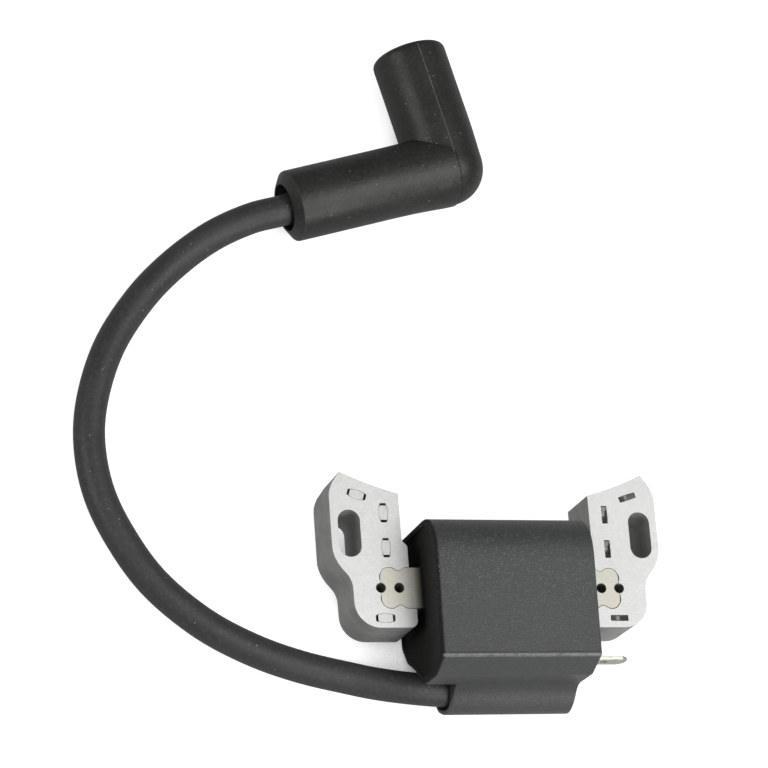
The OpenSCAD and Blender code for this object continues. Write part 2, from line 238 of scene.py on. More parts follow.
def round_line(name, line, radius, sides=32):
    """A closed tube of one radius along a line of points, as a mesh in metres."""
    curve = bpy.data.curves.new(name, "CURVE")
    curve.dimensions = "3D"
    curve.bevel_depth = radius
    curve.bevel_resolution = sides // 4 - 1
    curve.use_fill_caps = True
    spline = curve.splines.new("POLY")
    spline.points.add(len(line) - 1)
    for point, place in zip(spline.points, line):
        point.co = (*place, 1)
    mesh = made_mesh(bpy.data.objects.new(name, curve))
    for face in mesh.polygons:
        face.use_smooth = True
    mesh.set_sharp_from_angle(angle=math.radians(50))
    return mesh


lead_mesh = round_line("lead_jacket", lead_line, LEAD_R * MM)
lead_jacket = bpy.data.objects.new("lead_jacket", lead_mesh)
bpy.context.scene.collection.objects.link(lead_jacket)
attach(lead_jacket, "coil")
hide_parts("ignition_lead")
print("lead jacket faces:", len(lead_mesh.polygons))

# %% [markdown]
# ## Shared effects
# Some effects turn up on several finishes: a fine grain, cloudy patches where
# a surface has been handled, edges rubbed paler, specks of dust, the even
# ripple of wound wire and the edges of stacked sheets. Each is one shader group
# with named inputs, so a finish only chooses its own values.


# %% Group builder
def open_group(name, ins, outs):
    """A new shader group with float inputs ins and outputs outs."""
    tree = bpy.data.node_groups.new(name, "ShaderNodeTree")
    for label, value in ins:
        socket = tree.interface.new_socket(label, in_out="INPUT", socket_type="NodeSocketFloat")
        socket.default_value = value
    for label in outs:
        tree.interface.new_socket(label, in_out="OUTPUT", socket_type="NodeSocketFloat")
    entry = tree.nodes.new("NodeGroupInput")
    leave = tree.nodes.new("NodeGroupOutput")
    return tree, entry, leave


def math_node(tree, operation, a, b=None, clamp=False):
    """One maths step; a and b are sockets or numbers."""
    node = tree.nodes.new("ShaderNodeMath")
    node.operation = operation
    node.use_clamp = clamp
    for slot_number, value in enumerate((a, b)):
        if value is None:
            continue
        if isinstance(value, (int, float)):
            node.inputs[slot_number].default_value = value
        else:
            tree.links.new(value, node.inputs[slot_number])
    return node.outputs[0]


def spread(tree, value, low, high):
    """value stretched so that low becomes 0 and high becomes 1."""
    node = tree.nodes.new("ShaderNodeMapRange")
    for label, source in (("Value", value), ("From Min", low), ("From Max", high)):
        if isinstance(source, (int, float)):
            node.inputs[label].default_value = source
        else:
            tree.links.new(source, node.inputs[label])
    return node.outputs["Result"]


def coordinates(tree, kind="Object"):
    """The piece's own coordinates, or its Normal, as X, Y and Z."""
    where = tree.nodes.new("ShaderNodeTexCoord")
    split = tree.nodes.new("ShaderNodeSeparateXYZ")
    tree.links.new(where.outputs[kind], split.inputs[0])
    return split.outputs


def noise_node(tree, scale, detail=3.0, rough=0.55):
    """Noise on the piece's own coordinates."""
    where = tree.nodes.new("ShaderNodeTexCoord")
    node = tree.nodes.new("ShaderNodeTexNoise")
    tree.links.new(where.outputs["Object"], node.inputs["Vector"])
    if isinstance(scale, (int, float)):
        node.inputs["Scale"].default_value = scale
    else:
        tree.links.new(scale, node.inputs["Scale"])
    node.inputs["Detail"].default_value = detail
    node.inputs["Roughness"].default_value = rough
    return node.outputs["Fac"]


# %% Grain, clouding, rubbed edges and dust
def make_grain():
    """Fine uneven height, for a Bump node."""
    tree, entry, leave = open_group("fine_grain", [("Scale", 2500.0)], ["Height"])
    value = noise_node(tree, entry.outputs["Scale"], 4.0, 0.6)
    tree.links.new(math_node(tree, "SUBTRACT", value, 0.5), leave.inputs["Height"])
    return tree


def make_clouding():
    """Cloudy patches: noise below Low gives 0 and above High gives 1."""
    ins = [("Scale", 60.0), ("Low", 0.35), ("High", 0.65)]
    tree, entry, leave = open_group("clouding", ins, ["Mask"])
    value = noise_node(tree, entry.outputs["Scale"], 5.0, 0.6)
    mask = spread(tree, value, entry.outputs["Low"], entry.outputs["High"])
    tree.links.new(mask, leave.inputs["Mask"])
    return tree


def make_rubbed():
    """Patchy wear within Width of an edge, where a rounded normal would turn away."""
    tree, entry, leave = open_group("rubbed_edges", [("Width", 0.0004), ("Amount", 1.0)], ["Mask"])
    soft = tree.nodes.new("ShaderNodeBevel")
    soft.samples = 4
    tree.links.new(entry.outputs["Width"], soft.inputs["Radius"])
    shape = tree.nodes.new("ShaderNodeNewGeometry")
    dot = tree.nodes.new("ShaderNodeVectorMath")
    dot.operation = "DOT_PRODUCT"
    tree.links.new(soft.outputs["Normal"], dot.inputs[0])
    tree.links.new(shape.outputs["Normal"], dot.inputs[1])
    away = math_node(tree, "SUBTRACT", 1.0, dot.outputs["Value"])
    edge = spread(tree, away, 0.01, 0.18)
    patchy = spread(tree, noise_node(tree, 900.0, 4.0, 0.7), 0.35, 0.7)
    mixed = math_node(tree, "MULTIPLY", edge, patchy)
    mask = math_node(tree, "MULTIPLY", mixed, entry.outputs["Amount"], clamp=True)
    tree.links.new(mask, leave.inputs["Mask"])
    return tree


def make_dust():
    """A round speck of Size in a Share of the cells."""
    ins = [("Scale", 500.0), ("Size", 0.12), ("Share", 0.06)]
    tree, entry, leave = open_group("dust_specks", ins, ["Mask"])
    where = tree.nodes.new("ShaderNodeTexCoord")
    cells = tree.nodes.new("ShaderNodeTexVoronoi")
    tree.links.new(where.outputs["Object"], cells.inputs["Vector"])
    tree.links.new(entry.outputs["Scale"], cells.inputs["Scale"])
    near = math_node(tree, "LESS_THAN", cells.outputs["Distance"], entry.outputs["Size"])
    parts = tree.nodes.new("ShaderNodeSeparateColor")
    tree.links.new(cells.outputs["Color"], parts.inputs["Color"])
    chosen = math_node(tree, "LESS_THAN", parts.outputs["Red"], entry.outputs["Share"])
    mask = math_node(tree, "MULTIPLY", near, chosen)
    tree.links.new(mask, leave.inputs["Mask"])
    return tree


# %% Ripples and sheet edges
# Places along X: where the resin's dark film on the bar is full, where it has
# faded out, and where it stops under the case.
FILM_FULL, FILM_GONE = -17.8, -19.6
FILM_SIDE = -12.0


def make_ripple():
    """Even waves along X and along Y."""
    tree, entry, leave = open_group("axis_ripple", [("Period", 0.0004)], ["X", "Y"])
    place = coordinates(tree)
    for axis in ("X", "Y"):
        steps = math_node(tree, "DIVIDE", place[axis], entry.outputs["Period"])
        wave = math_node(tree, "SINE", math_node(tree, "MULTIPLY", steps, 2 * math.pi))
        tree.links.new(spread(tree, wave, -1.0, 1.0), leave.inputs[axis])
    return tree


def make_sheet_edges():
    """Masks for a stack: its side, each sheet's own grey, the joints, resin film."""
    outs = ["Side", "Shade", "Groove", "Creep"]
    tree, entry, leave = open_group("sheet_edges", [("Sheet", 0.0006)], outs)
    upright = math_node(tree, "ABSOLUTE", coordinates(tree, "Normal")["Z"])
    side = spread(tree, upright, 0.97, 0.6)
    tree.links.new(side, leave.inputs["Side"])
    place = coordinates(tree)
    level = math_node(tree, "DIVIDE", place["Z"], entry.outputs["Sheet"])
    own = tree.nodes.new("ShaderNodeTexWhiteNoise")
    own.noise_dimensions = "1D"
    tree.links.new(math_node(tree, "FLOOR", level), own.inputs["W"])
    shade = math_node(tree, "MULTIPLY", own.outputs["Value"], side)
    tree.links.new(shade, leave.inputs["Shade"])
    middle = math_node(tree, "SUBTRACT", math_node(tree, "FRACT", level), 0.5)
    off = math_node(tree, "ABSOLUTE", middle)
    groove = math_node(tree, "MULTIPLY", spread(tree, off, 0.38, 0.5), side)
    tree.links.new(groove, leave.inputs["Groove"])
    film = spread(tree, place["X"], FILM_GONE * MM, FILM_FULL * MM)
    near_end = math_node(tree, "LESS_THAN", place["X"], FILM_SIDE * MM)
    tree.links.new(math_node(tree, "MULTIPLY", film, near_end), leave.inputs["Creep"])
    return tree


EFFECTS = {
    "ripple": make_ripple(),
    "sheets": make_sheet_edges(),
    "grain": make_grain(),
    "clouding": make_clouding(),
    "rubbed": make_rubbed(),
    "dust": make_dust(),
}
print("shared effects:", sorted(EFFECTS))


# %% Finish builder
def shaded(color, factor):
    """The colour made darker or paler, up to white."""
    return tuple(min(1.0, c * factor) for c in color)


class Finish:
    """A material with one Principled shader and helpers that add nodes to it."""

    def __init__(self, name, color, roughness, metallic=0.0, specular=0.5):
        self.material = bpy.data.materials.new(name)
        self.material.use_nodes = True
        self.tree = self.material.node_tree
        self.shader = self.tree.nodes["Principled BSDF"]
        self.shader.inputs["Base Color"].default_value = (*color, 1)
        self.shader.inputs["Roughness"].default_value = roughness
        self.shader.inputs["Metallic"].default_value = metallic
        self.shader.inputs["Specular IOR Level"].default_value = specular
        self.base = color
        self.color = None
        self.normal = None

    def effect(self, key, out, **values):
        """One output of a shared effect."""
        node = self.tree.nodes.new("ShaderNodeGroup")
        node.node_tree = EFFECTS[key]
        for label, value in values.items():
            node.inputs[label].default_value = value
        return node.outputs[out]

    def tint(self, mask, color, share=1.0):
        """Mixes color in where mask is 1."""
        node = self.tree.nodes.new("ShaderNodeMix")
        node.data_type = "RGBA"
        node.clamp_factor = True
        if share != 1.0:
            mask = math_node(self.tree, "MULTIPLY", mask, share)
        self.tree.links.new(mask, node.inputs[0])
        if self.color is None:
            node.inputs[6].default_value = (*self.base, 1)
        else:
            self.tree.links.new(self.color, node.inputs[6])
        node.inputs[7].default_value = (*color, 1)
        self.color = node.outputs[2]
        self.tree.links.new(self.color, self.shader.inputs["Base Color"])

    def roughen(self, mask, low, high):
        """Roughness goes from low to high as mask goes from 0 to 1."""
        node = self.tree.nodes.new("ShaderNodeMapRange")
        node.inputs["To Min"].default_value = low
        node.inputs["To Max"].default_value = high
        self.tree.links.new(mask, node.inputs["Value"])
        self.tree.links.new(node.outputs["Result"], self.shader.inputs["Roughness"])

    def bump(self, height, distance, strength=1.0):
        """One more Bump node, on top of those already there."""
        node = self.tree.nodes.new("ShaderNodeBump")
        node.inputs["Distance"].default_value = distance
        node.inputs["Strength"].default_value = strength
        self.tree.links.new(height, node.inputs["Height"])
        if self.normal is not None:
            self.tree.links.new(self.normal, node.inputs["Normal"])
        self.normal = node.outputs["Normal"]
        self.tree.links.new(self.normal, self.shader.inputs["Normal"])

    def clouds(self, scale, low, high):
        """Cloudy patches."""
        return self.effect("clouding", "Mask", Scale=scale, Low=low, High=high)

    def specks(self, scale, size, share):
        """Scattered round specks."""
        return self.effect("dust", "Mask", Scale=scale, Size=size, Share=share)

    def rubbed(self, width, amount=1.0):
        """Wear along the edges."""
        return self.effect("rubbed", "Mask", Width=width, Amount=amount)

    def grain(self, scale, distance, strength):
        """Fine bumps of one size."""
        self.bump(self.effect("grain", "Height", Scale=scale), distance, strength)

    def place(self, axis):
        """One coordinate of the shaded point, in metres."""
        return coordinates(self.tree)[axis]

    def stripe(self, axis, centre, outer, inner):
        """A stripe across one axis: 0 beyond outer from its centre, 1 within inner."""
        away = math_node(self.tree, "SUBTRACT", self.place(axis), centre * MM)
        off = math_node(self.tree, "ABSOLUTE", away)
        return spread(self.tree, off, outer * MM, inner * MM)

    def both(self, first, second):
        """The overlap of two masks."""
        return math_node(self.tree, "MULTIPLY", first, second)


# %% [markdown]
# ## Lamination steel
# The core is stamped from thin silicon-steel sheets. The face of a sheet is
# smooth rolled metal with a faint grey mottling. The stack's side is a row of
# sheared edges, darker and rougher, with a dark line between sheets. One
# material tells face from edge by the direction the surface points in, and
# gives each sheet a slightly different grey.

# %% Steel finishes
SHEETS = 20
SHEET = STACK / SHEETS


def sheet_steel(name, face, edge, gleam):
    """Rolled steel on the faces, sheared edges on the sides, gleam on rubbed corners."""
    finish = Finish(name, face, 0.55, metallic=0.75)
    side_mask = finish.effect("sheets", "Side", Sheet=SHEET * MM)
    mottle = finish.clouds(900.0, 0.35, 0.65)
    finish.tint(mottle, shaded(face, 0.86), 0.6)
    fleck = finish.clouds(2600.0, 0.4, 0.7)
    finish.tint(fleck, shaded(face, 0.72), 0.6)
    patches = finish.clouds(70.0, 0.42, 0.72)
    finish.tint(patches, shaded(face, 0.92), 0.6)
    stain = finish.specks(330.0, 0.14, 0.012)
    finish.tint(stain, (0.16, 0.15, 0.13), 0.8)
    finish.tint(side_mask, edge)
    own_grey = finish.effect("sheets", "Shade", Sheet=SHEET * MM)
    finish.tint(own_grey, shaded(edge, 0.7), 0.35)
    joint = finish.effect("sheets", "Groove", Sheet=SHEET * MM)
    finish.tint(joint, (0.07, 0.07, 0.068), 0.22)
    worn = finish.clouds(240.0, 0.4, 0.65)
    finish.tint(finish.both(worn, side_mask), shaded(edge, 0.62), 0.55)
    rub = finish.rubbed(0.00025, 0.8)
    flat = math_node(finish.tree, "SUBTRACT", 1.0, side_mask)
    finish.tint(finish.both(rub, flat), gleam, 0.6)
    finish.tint(finish.effect("sheets", "Creep"), (0.02, 0.02, 0.018), 0.97)
    finish.roughen(side_mask, 0.55, 0.58)
    finish.grain(3800.0, 0.00002, 0.5)
    finish.grain(900.0, 0.00006, 0.4)
    return finish.material


LEG_STEEL = sheet_steel("leg_steel", (0.81, 0.81, 0.795), (0.44, 0.44, 0.43), (0.85, 0.85, 0.83))
# The flush strips' sides are near-black: painted shade in the cuts at their ends.
FLUSH_STEEL_SHADED_SIDES = sheet_steel("flush_steel_shaded_sides", (0.77, 0.77, 0.76), (0.03, 0.03, 0.03), (0.6, 0.6, 0.58))
# The pits' steel is a darker copy of the leg steel: painted shade in the pits.
PIT_STEEL_PAINTED_SHADE = sheet_steel("pit_steel_painted_shade", (0.34, 0.34, 0.335), (0.07, 0.07, 0.07), (0.6, 0.6, 0.58))
BAR_STEEL = sheet_steel("bar_steel", (0.74, 0.72, 0.635), (0.30, 0.30, 0.285), (0.8, 0.78, 0.7))
print("steel finishes:", LEG_STEEL.name, BAR_STEEL.name)

# %% [markdown]
# ## Black plastics and rubbers
# The case is spark-eroded black plastic: matt, with pale speckle all over that
# partly stands in for glints, paler where edges have rubbed, and with painted
# highlights and glints on its front ridge and tower. The lead's jacket and the
# boot are rubber, with a pale bloom that is partly a painted sheen. The boot is
# the darker and smoother of the two.


# %% Case and resin finishes
# The case's open end turns dark with resin between these places along X.
RIM_CLEAN, RIM_DARK = -17.0, -17.4
# The pale line on the front ridge, partly wear and partly a painted highlight, and how high the ridge
# lies.
RIDGE_HIGHLIGHT_Y = CORE_Y - 17.25
RIDGE_HIGHLIGHT_Z = 22.5
# Painted glints on the upper case, from the first Y to the second.
GLINT_START, GLINT_FULL = -23.5, -13.5
# The painted highlight along the tower, on the parts that lie below a height.
TOWER_HIGHLIGHT_Y = CORE_Y - 22.6
TOWER_HIGHLIGHT_Z = 6.5
# Heights between which the resin's open face is painted paler: painted light near the front wall.
FRONT_LIGHT_START, FRONT_LIGHT_FULL = 10.0, 21.0


def case_plastic():
    """Spark-eroded black plastic with wear, dust and a resin-darkened open end, and painted highlights
    and glints on the ridge and tower.
    """
    finish = Finish("case_plastic", (0.053, 0.056, 0.055), 0.36, specular=0.45)
    haze = finish.clouds(55.0, 0.4, 0.75)
    finish.tint(haze, (0.062, 0.065, 0.064), 0.6)
    # Pale speckle all over the case: grain tone, and partly painted glints.
    speckle_and_glint = finish.clouds(2600.0, 0.55, 0.7)
    finish.tint(speckle_and_glint, (0.15, 0.155, 0.15), 0.5)
    rub = finish.rubbed(0.0005)
    finish.tint(rub, (0.2, 0.205, 0.2), 0.55)
    dust = finish.specks(260.0, 0.09, 0.02)
    finish.tint(dust, (0.5, 0.5, 0.48), 0.7)
    open_end = spread(finish.tree, finish.place("X"), RIM_CLEAN * MM, RIM_DARK * MM)
    finish.tint(open_end, (0.01, 0.01, 0.01), 0.97)
    # A pale stripe along the front ridge: partly pale wear, partly a painted highlight.
    high = math_node(finish.tree, "GREATER_THAN", finish.place("Z"), RIDGE_HIGHLIGHT_Z * MM)
    ridge = finish.both(finish.stripe("Y", RIDGE_HIGHLIGHT_Y, 0.5, 0.22), high)
    patchy = finish.clouds(900.0, 0.25, 0.6)
    finish.tint(finish.both(ridge, patchy), (0.26, 0.265, 0.26), 0.7)
    # A paler band along the tower's tube below a height: a painted highlight.
    low = math_node(finish.tree, "LESS_THAN", finish.place("Z"), TOWER_HIGHLIGHT_Z * MM)
    painted_tower_highlight = finish.both(finish.stripe("Y", TOWER_HIGHLIGHT_Y, 1.8, 0.3), low)
    finish.tint(painted_tower_highlight, (0.1, 0.105, 0.1), 0.4)
    # Pale specks on the upper case and along the tower's band: painted glints.
    upper = spread(finish.tree, finish.place("Y"), GLINT_START * MM, GLINT_FULL * MM)
    painted_glint_area = math_node(finish.tree, "MAXIMUM", upper, painted_tower_highlight)
    painted_glint = finish.specks(2300.0, 0.3, 0.4)
    finish.tint(finish.both(painted_glint, painted_glint_area), (0.19, 0.195, 0.19), 0.55)
    matt = math_node(finish.tree, "ADD", finish.both(haze, 0.12), open_end)
    finish.roughen(matt, 0.33, 0.95)
    finish.grain(3600.0, 0.0002, 0.7)
    finish.grain(320.0, 0.0002, 0.2)
    return finish.material


def resin():
    """Black casting resin, rough and streaky, painted paler towards the front as painted light."""
    finish = Finish("casting_resin", (0.018, 0.018, 0.016), 0.8, specular=0.08)
    streak = finish.clouds(160.0, 0.45, 0.7)
    finish.tint(streak, (0.04, 0.04, 0.036), 0.7)
    # Paler towards the front wall: painted light on the resin's open face.
    painted_front_light = spread(finish.tree, finish.place("Z"), FRONT_LIGHT_START * MM, FRONT_LIGHT_FULL * MM)
    finish.tint(painted_front_light, (0.045, 0.045, 0.041), 0.7)
    finish.roughen(streak, 0.7, 0.9)
    finish.grain(350.0, 0.0003, 0.4)
    return finish.material


CASE_PLASTIC = case_plastic()
RESIN = resin()
print("case and resin finishes:", CASE_PLASTIC.name, RESIN.name)

# %% Lead and boot finishes
def rubber(name, color, pale, roughness, specular, bloom_and_sheen):
    """Rubber with a pale bloom that is partly a painted sheen, rubbed edges, dust and short lint."""
    finish = Finish(name, color, roughness, specular=specular)
    cloud = finish.clouds(90.0, 0.4, 0.75)
    # Pale cloudy patches: bloom, and partly a painted sheen.
    finish.tint(cloud, pale, bloom_and_sheen)
    rub = finish.rubbed(0.0006)
    finish.tint(rub, shaded(pale, 3.2), 0.75)
    film = finish.clouds(1300.0, 0.5, 0.72)
    finish.tint(film, shaded(pale, 2.0), bloom_and_sheen * 0.55)
    dust = finish.specks(520.0, 0.09, 0.36)
    finish.tint(dust, (0.25, 0.25, 0.23), 0.6)
    lint = finish.specks(1300.0, 0.14, 0.12)
    finish.tint(lint, (0.17, 0.17, 0.155), 0.4)
    finish.roughen(cloud, roughness - 0.05, roughness + 0.1)
    finish.grain(1500.0, 0.00012, 0.5)
    finish.grain(160.0, 0.0006, 0.25)
    return finish.material


LEAD_RUBBER = rubber("lead_rubber", (0.037, 0.039, 0.038), (0.05, 0.052, 0.05), 0.5, 0.35, 0.6)
BOOT_RUBBER = rubber("boot_rubber", (0.022, 0.022, 0.02), (0.032, 0.032, 0.029), 0.42, 0.35, 0.7)
# The flash line's rubber is paler than the boot's: a painted highlight on the ridge.
FLASH_RUBBER_PAINTED_HIGHLIGHT = rubber("flash_rubber_painted_highlight", (0.05, 0.05, 0.046), (0.07, 0.07, 0.065), 0.5, 0.4, 0.7)
# The seam's rubber is near-black: painted shade along the step where the arms meet.
SEAM_PAINTED_SHADE = rubber("seam_painted_shade", (0.005, 0.005, 0.005), (0.008, 0.008, 0.007), 0.7, 0.2, 0.3)
lead_mesh.materials.append(LEAD_RUBBER)
print("rubbers:", LEAD_RUBBER.name, BOOT_RUBBER.name)


# %% [markdown]
# ## Drawing helpers
# Most pieces start as a flat outline. A helper rounds its corners, another
# shrinks it evenly, and others turn outlines into plates, lofted shells and
# turned shapes. All sizes are in millimetres until the mesh is made.


# %% Outline helpers
def arc(cx, cy, r, start, end, count):
    """Points on an arc, in degrees."""
    out = []
    for k in range(count + 1):
        a = math.radians(start + (end - start) * k / count)
        out.append((cx + r * math.cos(a), cy + r * math.sin(a)))
    return out


def rounded(corners, steps=6):
    """An outline from (x, y, radius) corners, each corner rounded."""
    out, reaches = [], []
    count = len(corners)
    for i, (x, y, r) in enumerate(corners):
        back = Vector(corners[i - 1][:2]) - Vector((x, y))
        ahead = Vector(corners[(i + 1) % count][:2]) - Vector((x, y))
        reaches.append(r / math.tan(back.angle(ahead) / 2))
    for i, (x, y, r) in enumerate(corners):
        here = Vector((x, y))
        back = Vector(corners[i - 1][:2]) - here
        ahead = Vector(corners[(i + 1) % count][:2]) - here
        if r <= 0:
            out.append((x, y))
            continue
        half = back.angle(ahead) / 2
        share = min(
            1.0,
            back.length * 0.98 / max(1e-6, reaches[i] + reaches[i - 1]),
            ahead.length * 0.98 / max(1e-6, reaches[i] + reaches[(i + 1) % count]),
        )
        reach = reaches[i] * share
        r = reach * math.tan(half)
        centre = here + (back.normalized() + ahead.normalized()).normalized() * (r / math.sin(half))
        a = here + back.normalized() * reach - centre
        b = here + ahead.normalized() * reach - centre
        turn = a.angle_signed(b)
        for k in range(steps + 1):
            spot = a.copy()
            spot.rotate(Matrix.Rotation(-turn * k / steps, 2))
            out.append(tuple(centre + spot))
    return out


def shrink(loop, by):
    """The outline moved inwards by a distance; it must run anticlockwise."""
    out = []
    count = len(loop)
    for i in range(count):
        a, b, c = (Vector(loop[(i + k) % count]) for k in (-1, 0, 1))
        before, after = (b - a), (c - b)
        if before.length < 1e-9:
            before = after
        if after.length < 1e-9:
            after = before
        n1 = Vector((-before.y, before.x)).normalized()
        n2 = Vector((-after.y, after.x)).normalized()
        mean = (n1 + n2).normalized()
        out.append(tuple(b + mean * (by / max(0.5, mean.dot(n1)))))
    return out


def anticlockwise(loop):
    """The same outline, turned round if it runs clockwise."""
    area = sum(a[0] * b[1] - b[0] * a[1] for a, b in zip(loop, loop[1:] + loop[:1]))
    return loop if area > 0 else loop[::-1]


# %% Mesh helpers
def finish_object(name, mesh, body, material=None, angle=35.0):
    """Links a mesh as an object that rides on a body, smooth but for its sharp edges."""
    if material is not None:
        mesh.materials.clear()
        mesh.materials.append(material)
    for face in mesh.polygons:
        face.use_smooth = True
    mesh.set_sharp_from_angle(angle=math.radians(angle))
    thing = bpy.data.objects.new(name, mesh)
    bpy.context.scene.collection.objects.link(thing)
    if body:
        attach(thing, body)
    return thing


def plate(name, loops, z_low, z_high, bevel):
    """A flat plate with holes as a mesh in metres: the outer loop first."""
    data = bpy.data.curves.new(name, "CURVE")
    data.dimensions = "2D"
    data.fill_mode = "BOTH"
    data.extrude = (z_high - z_low) / 2 - bevel
    data.bevel_depth = bevel
    data.bevel_resolution = 0
    data.offset = -bevel
    for loop in loops:
        spline = data.splines.new("POLY")
        spline.points.add(len(loop) - 1)
        for point, (x, y) in zip(spline.points, loop):
            point.co = (x, y, 0, 1)
        spline.use_cyclic_u = True
    mesh = made_mesh(bpy.data.objects.new(name, data))
    mesh.transform(Matrix.Translation((0, 0, (z_low + z_high) / 2)))
    mesh.transform(Matrix.Scale(MM, 4))
    tidy(mesh)
    return mesh


# Points nearer than this are one point, in metres.
MERGE = 0.000001


def tidy(mesh):
    """Merges doubles and points every face outwards."""
    work = bmesh.new()
    work.from_mesh(mesh)
    bmesh.ops.remove_doubles(work, verts=work.verts, dist=MERGE)
    bmesh.ops.recalc_face_normals(work, faces=work.faces)
    work.to_mesh(mesh)
    work.free()
    mesh.update()


def loft(name, sections):
    """A closed shell through sections of equal point count, in millimetres."""
    work = bmesh.new()
    rings = [[work.verts.new(Vector(p) * MM) for p in section] for section in sections]
    count = len(rings[0])
    for low, high in zip(rings, rings[1:]):
        for k in range(count):
            work.faces.new((low[k], low[(k + 1) % count], high[(k + 1) % count], high[k]))
    work.faces.new(rings[0][::-1])
    work.faces.new(rings[-1])
    bmesh.ops.recalc_face_normals(work, faces=work.faces)
    mesh = bpy.data.meshes.new(name)
    work.to_mesh(mesh)
    work.free()
    return mesh


def turned(name, profile, place, segments=96):
    """A solid of revolution about +X from (along, radius) pairs, moved by place."""
    sections = []
    for along, radius in profile:
        ring = []
        for k in range(segments):
            a = 2 * math.pi * k / segments
            ring.append(place @ Vector((along, radius * math.cos(a), radius * math.sin(a))))
        sections.append(ring)
    return loft(name, sections)


def cut_or_join(base, other, operation):
    """The mesh base with the mesh other joined on or cut away."""
    first = bpy.data.objects.new("base", base)
    second = bpy.data.objects.new("tool", other)
    bpy.context.scene.collection.objects.link(second)
    step = first.modifiers.new("step", "BOOLEAN")
    step.operation = operation
    step.solver = "EXACT"
    step.object = second
    made = made_mesh(first)
    bpy.data.objects.remove(second)
    return made


# %% [markdown]
# ## Stacks of sheets
# Each leg is twenty stamped sheets. A Geometry Nodes tree takes one thin sheet
# and repeats it up the stack, each copy shifted by a few hundredths of a
# millimetre, as real sheets never line up perfectly.


# %% The stack tree
def geometry_group(name, ins, out):
    """A new Geometry Nodes tree with inputs ins, as (label, kind), and one output."""
    tree = bpy.data.node_groups.new(name, "GeometryNodeTree")
    tree.is_modifier = True
    for label, kind in ins:
        tree.interface.new_socket(label, in_out="INPUT", socket_type="NodeSocket" + kind)
    tree.interface.new_socket(out, in_out="OUTPUT", socket_type="NodeSocketGeometry")
    return tree, tree.nodes.new("NodeGroupInput"), tree.nodes.new("NodeGroupOutput")


def dress_copies(tree, copies, entry, leave):
    """Makes the copies real and gives them the Finish input's material."""
    real = tree.nodes.new("GeometryNodeRealizeInstances")
    dress = tree.nodes.new("GeometryNodeSetMaterial")
    tree.links.new(copies.outputs["Instances"], real.inputs["Geometry"])
    tree.links.new(real.outputs["Geometry"], dress.inputs["Geometry"])
    tree.links.new(entry.outputs["Finish"], dress.inputs["Material"])
    tree.links.new(dress.outputs["Geometry"], leave.inputs[0])


def stack_tree():
    """A Geometry Nodes tree that repeats a sheet up the stack."""
    ins = [("Sheet", "Geometry"), ("Count", "Int"), ("Pitch", "Float"), ("Shift", "Float")]
    ins += [("Seed", "Int"), ("Finish", "Material")]
    tree, entry, leave = geometry_group("sheet_stack", ins, "Stack")
    add, link = tree.nodes.new, tree.links.new
    line, step = add("GeometryNodeMeshLine"), add("ShaderNodeCombineXYZ")
    link(entry.outputs["Count"], line.inputs["Count"])
    link(entry.outputs["Pitch"], step.inputs["Z"])
    link(step.outputs[0], line.inputs["Offset"])
    low, high = add("ShaderNodeCombineXYZ"), add("ShaderNodeCombineXYZ")
    flip = add("ShaderNodeMath")
    flip.operation = "MULTIPLY"
    flip.inputs[1].default_value = -1.0
    link(entry.outputs["Shift"], flip.inputs[0])
    for axis in ("X", "Y"):
        link(flip.outputs[0], low.inputs[axis])
        link(entry.outputs["Shift"], high.inputs[axis])
    chance = add("FunctionNodeRandomValue")
    chance.data_type = "FLOAT_VECTOR"
    link(low.outputs[0], chance.inputs[0])
    link(high.outputs[0], chance.inputs[1])
    link(entry.outputs["Seed"], chance.inputs["Seed"])
    nudge = add("GeometryNodeSetPosition")
    link(line.outputs["Mesh"], nudge.inputs["Geometry"])
    link(chance.outputs[0], nudge.inputs["Offset"])
    copies = add("GeometryNodeInstanceOnPoints")
    link(nudge.outputs["Geometry"], copies.inputs["Points"])
    link(entry.outputs["Sheet"], copies.inputs["Instance"])
    dress_copies(tree, copies, entry, leave)
    return tree


def run_tree(name, mesh, tree, values):
    """The plain mesh that a Geometry Nodes tree makes of mesh."""
    holder = bpy.data.objects.new(name, mesh)
    modifier = holder.modifiers.new("made", "NODES")
    modifier.node_group = tree
    for item in tree.interface.items_tree:
        if item.in_out == "INPUT" and item.name in values:
            modifier[item.identifier] = values[item.name]
    return made_mesh(holder)


STACK_TREE = stack_tree()
print("stack tree nodes:", len(STACK_TREE.nodes))

# %% [markdown]
# ## Legs and core bar
# A leg carries a slotted screw hole, a concave pole face that clears the
# flywheel, and a pocket that grips the core bar's knob like a puzzle piece.
# Half a round hole is punched through each side of that joint.

# %% Leg and bar outlines
# The joint's gap along the knob's flanks, and how many times wider it is at its end.
GAP = 0.09
GAP_END = 2.3
BAR_HALF = 4.45
KNOB_END = 26.95
PIN_R = 1.1
# The upper half of the knob, from its neck to the half-hole in its end.
KNOB = [
    (21.2, 4.45), (21.75, 4.3), (22.2, 3.95), (22.6, 3.75), (22.95, 3.7), (23.35, 3.8),
    (23.8, 4.1), (24.25, 4.38), (24.75, 4.45), (25.3, 4.43), (25.9, 4.25), (26.4, 3.85),
    (26.75, 3.35), (26.93, 2.75), (26.95, 2.1), (KNOB_END, PIN_R),
]
KNOB_HOLE = arc(KNOB_END, 0, PIN_R, 90, 270, 12)
POCKET_HOLE = arc(KNOB_END, 0, PIN_R, 90, -90, 12)
POLE_R, POLE_Y = 80, 97.9
SLOT_X, SLOT_Y = 33, 12
SLOT_R, SLOT_HALF = 2.45, 2.75


def mirrored(loop):
    """The outline seen from the other side of the Y axis."""
    return [(-x, y) for x, y in loop][::-1]


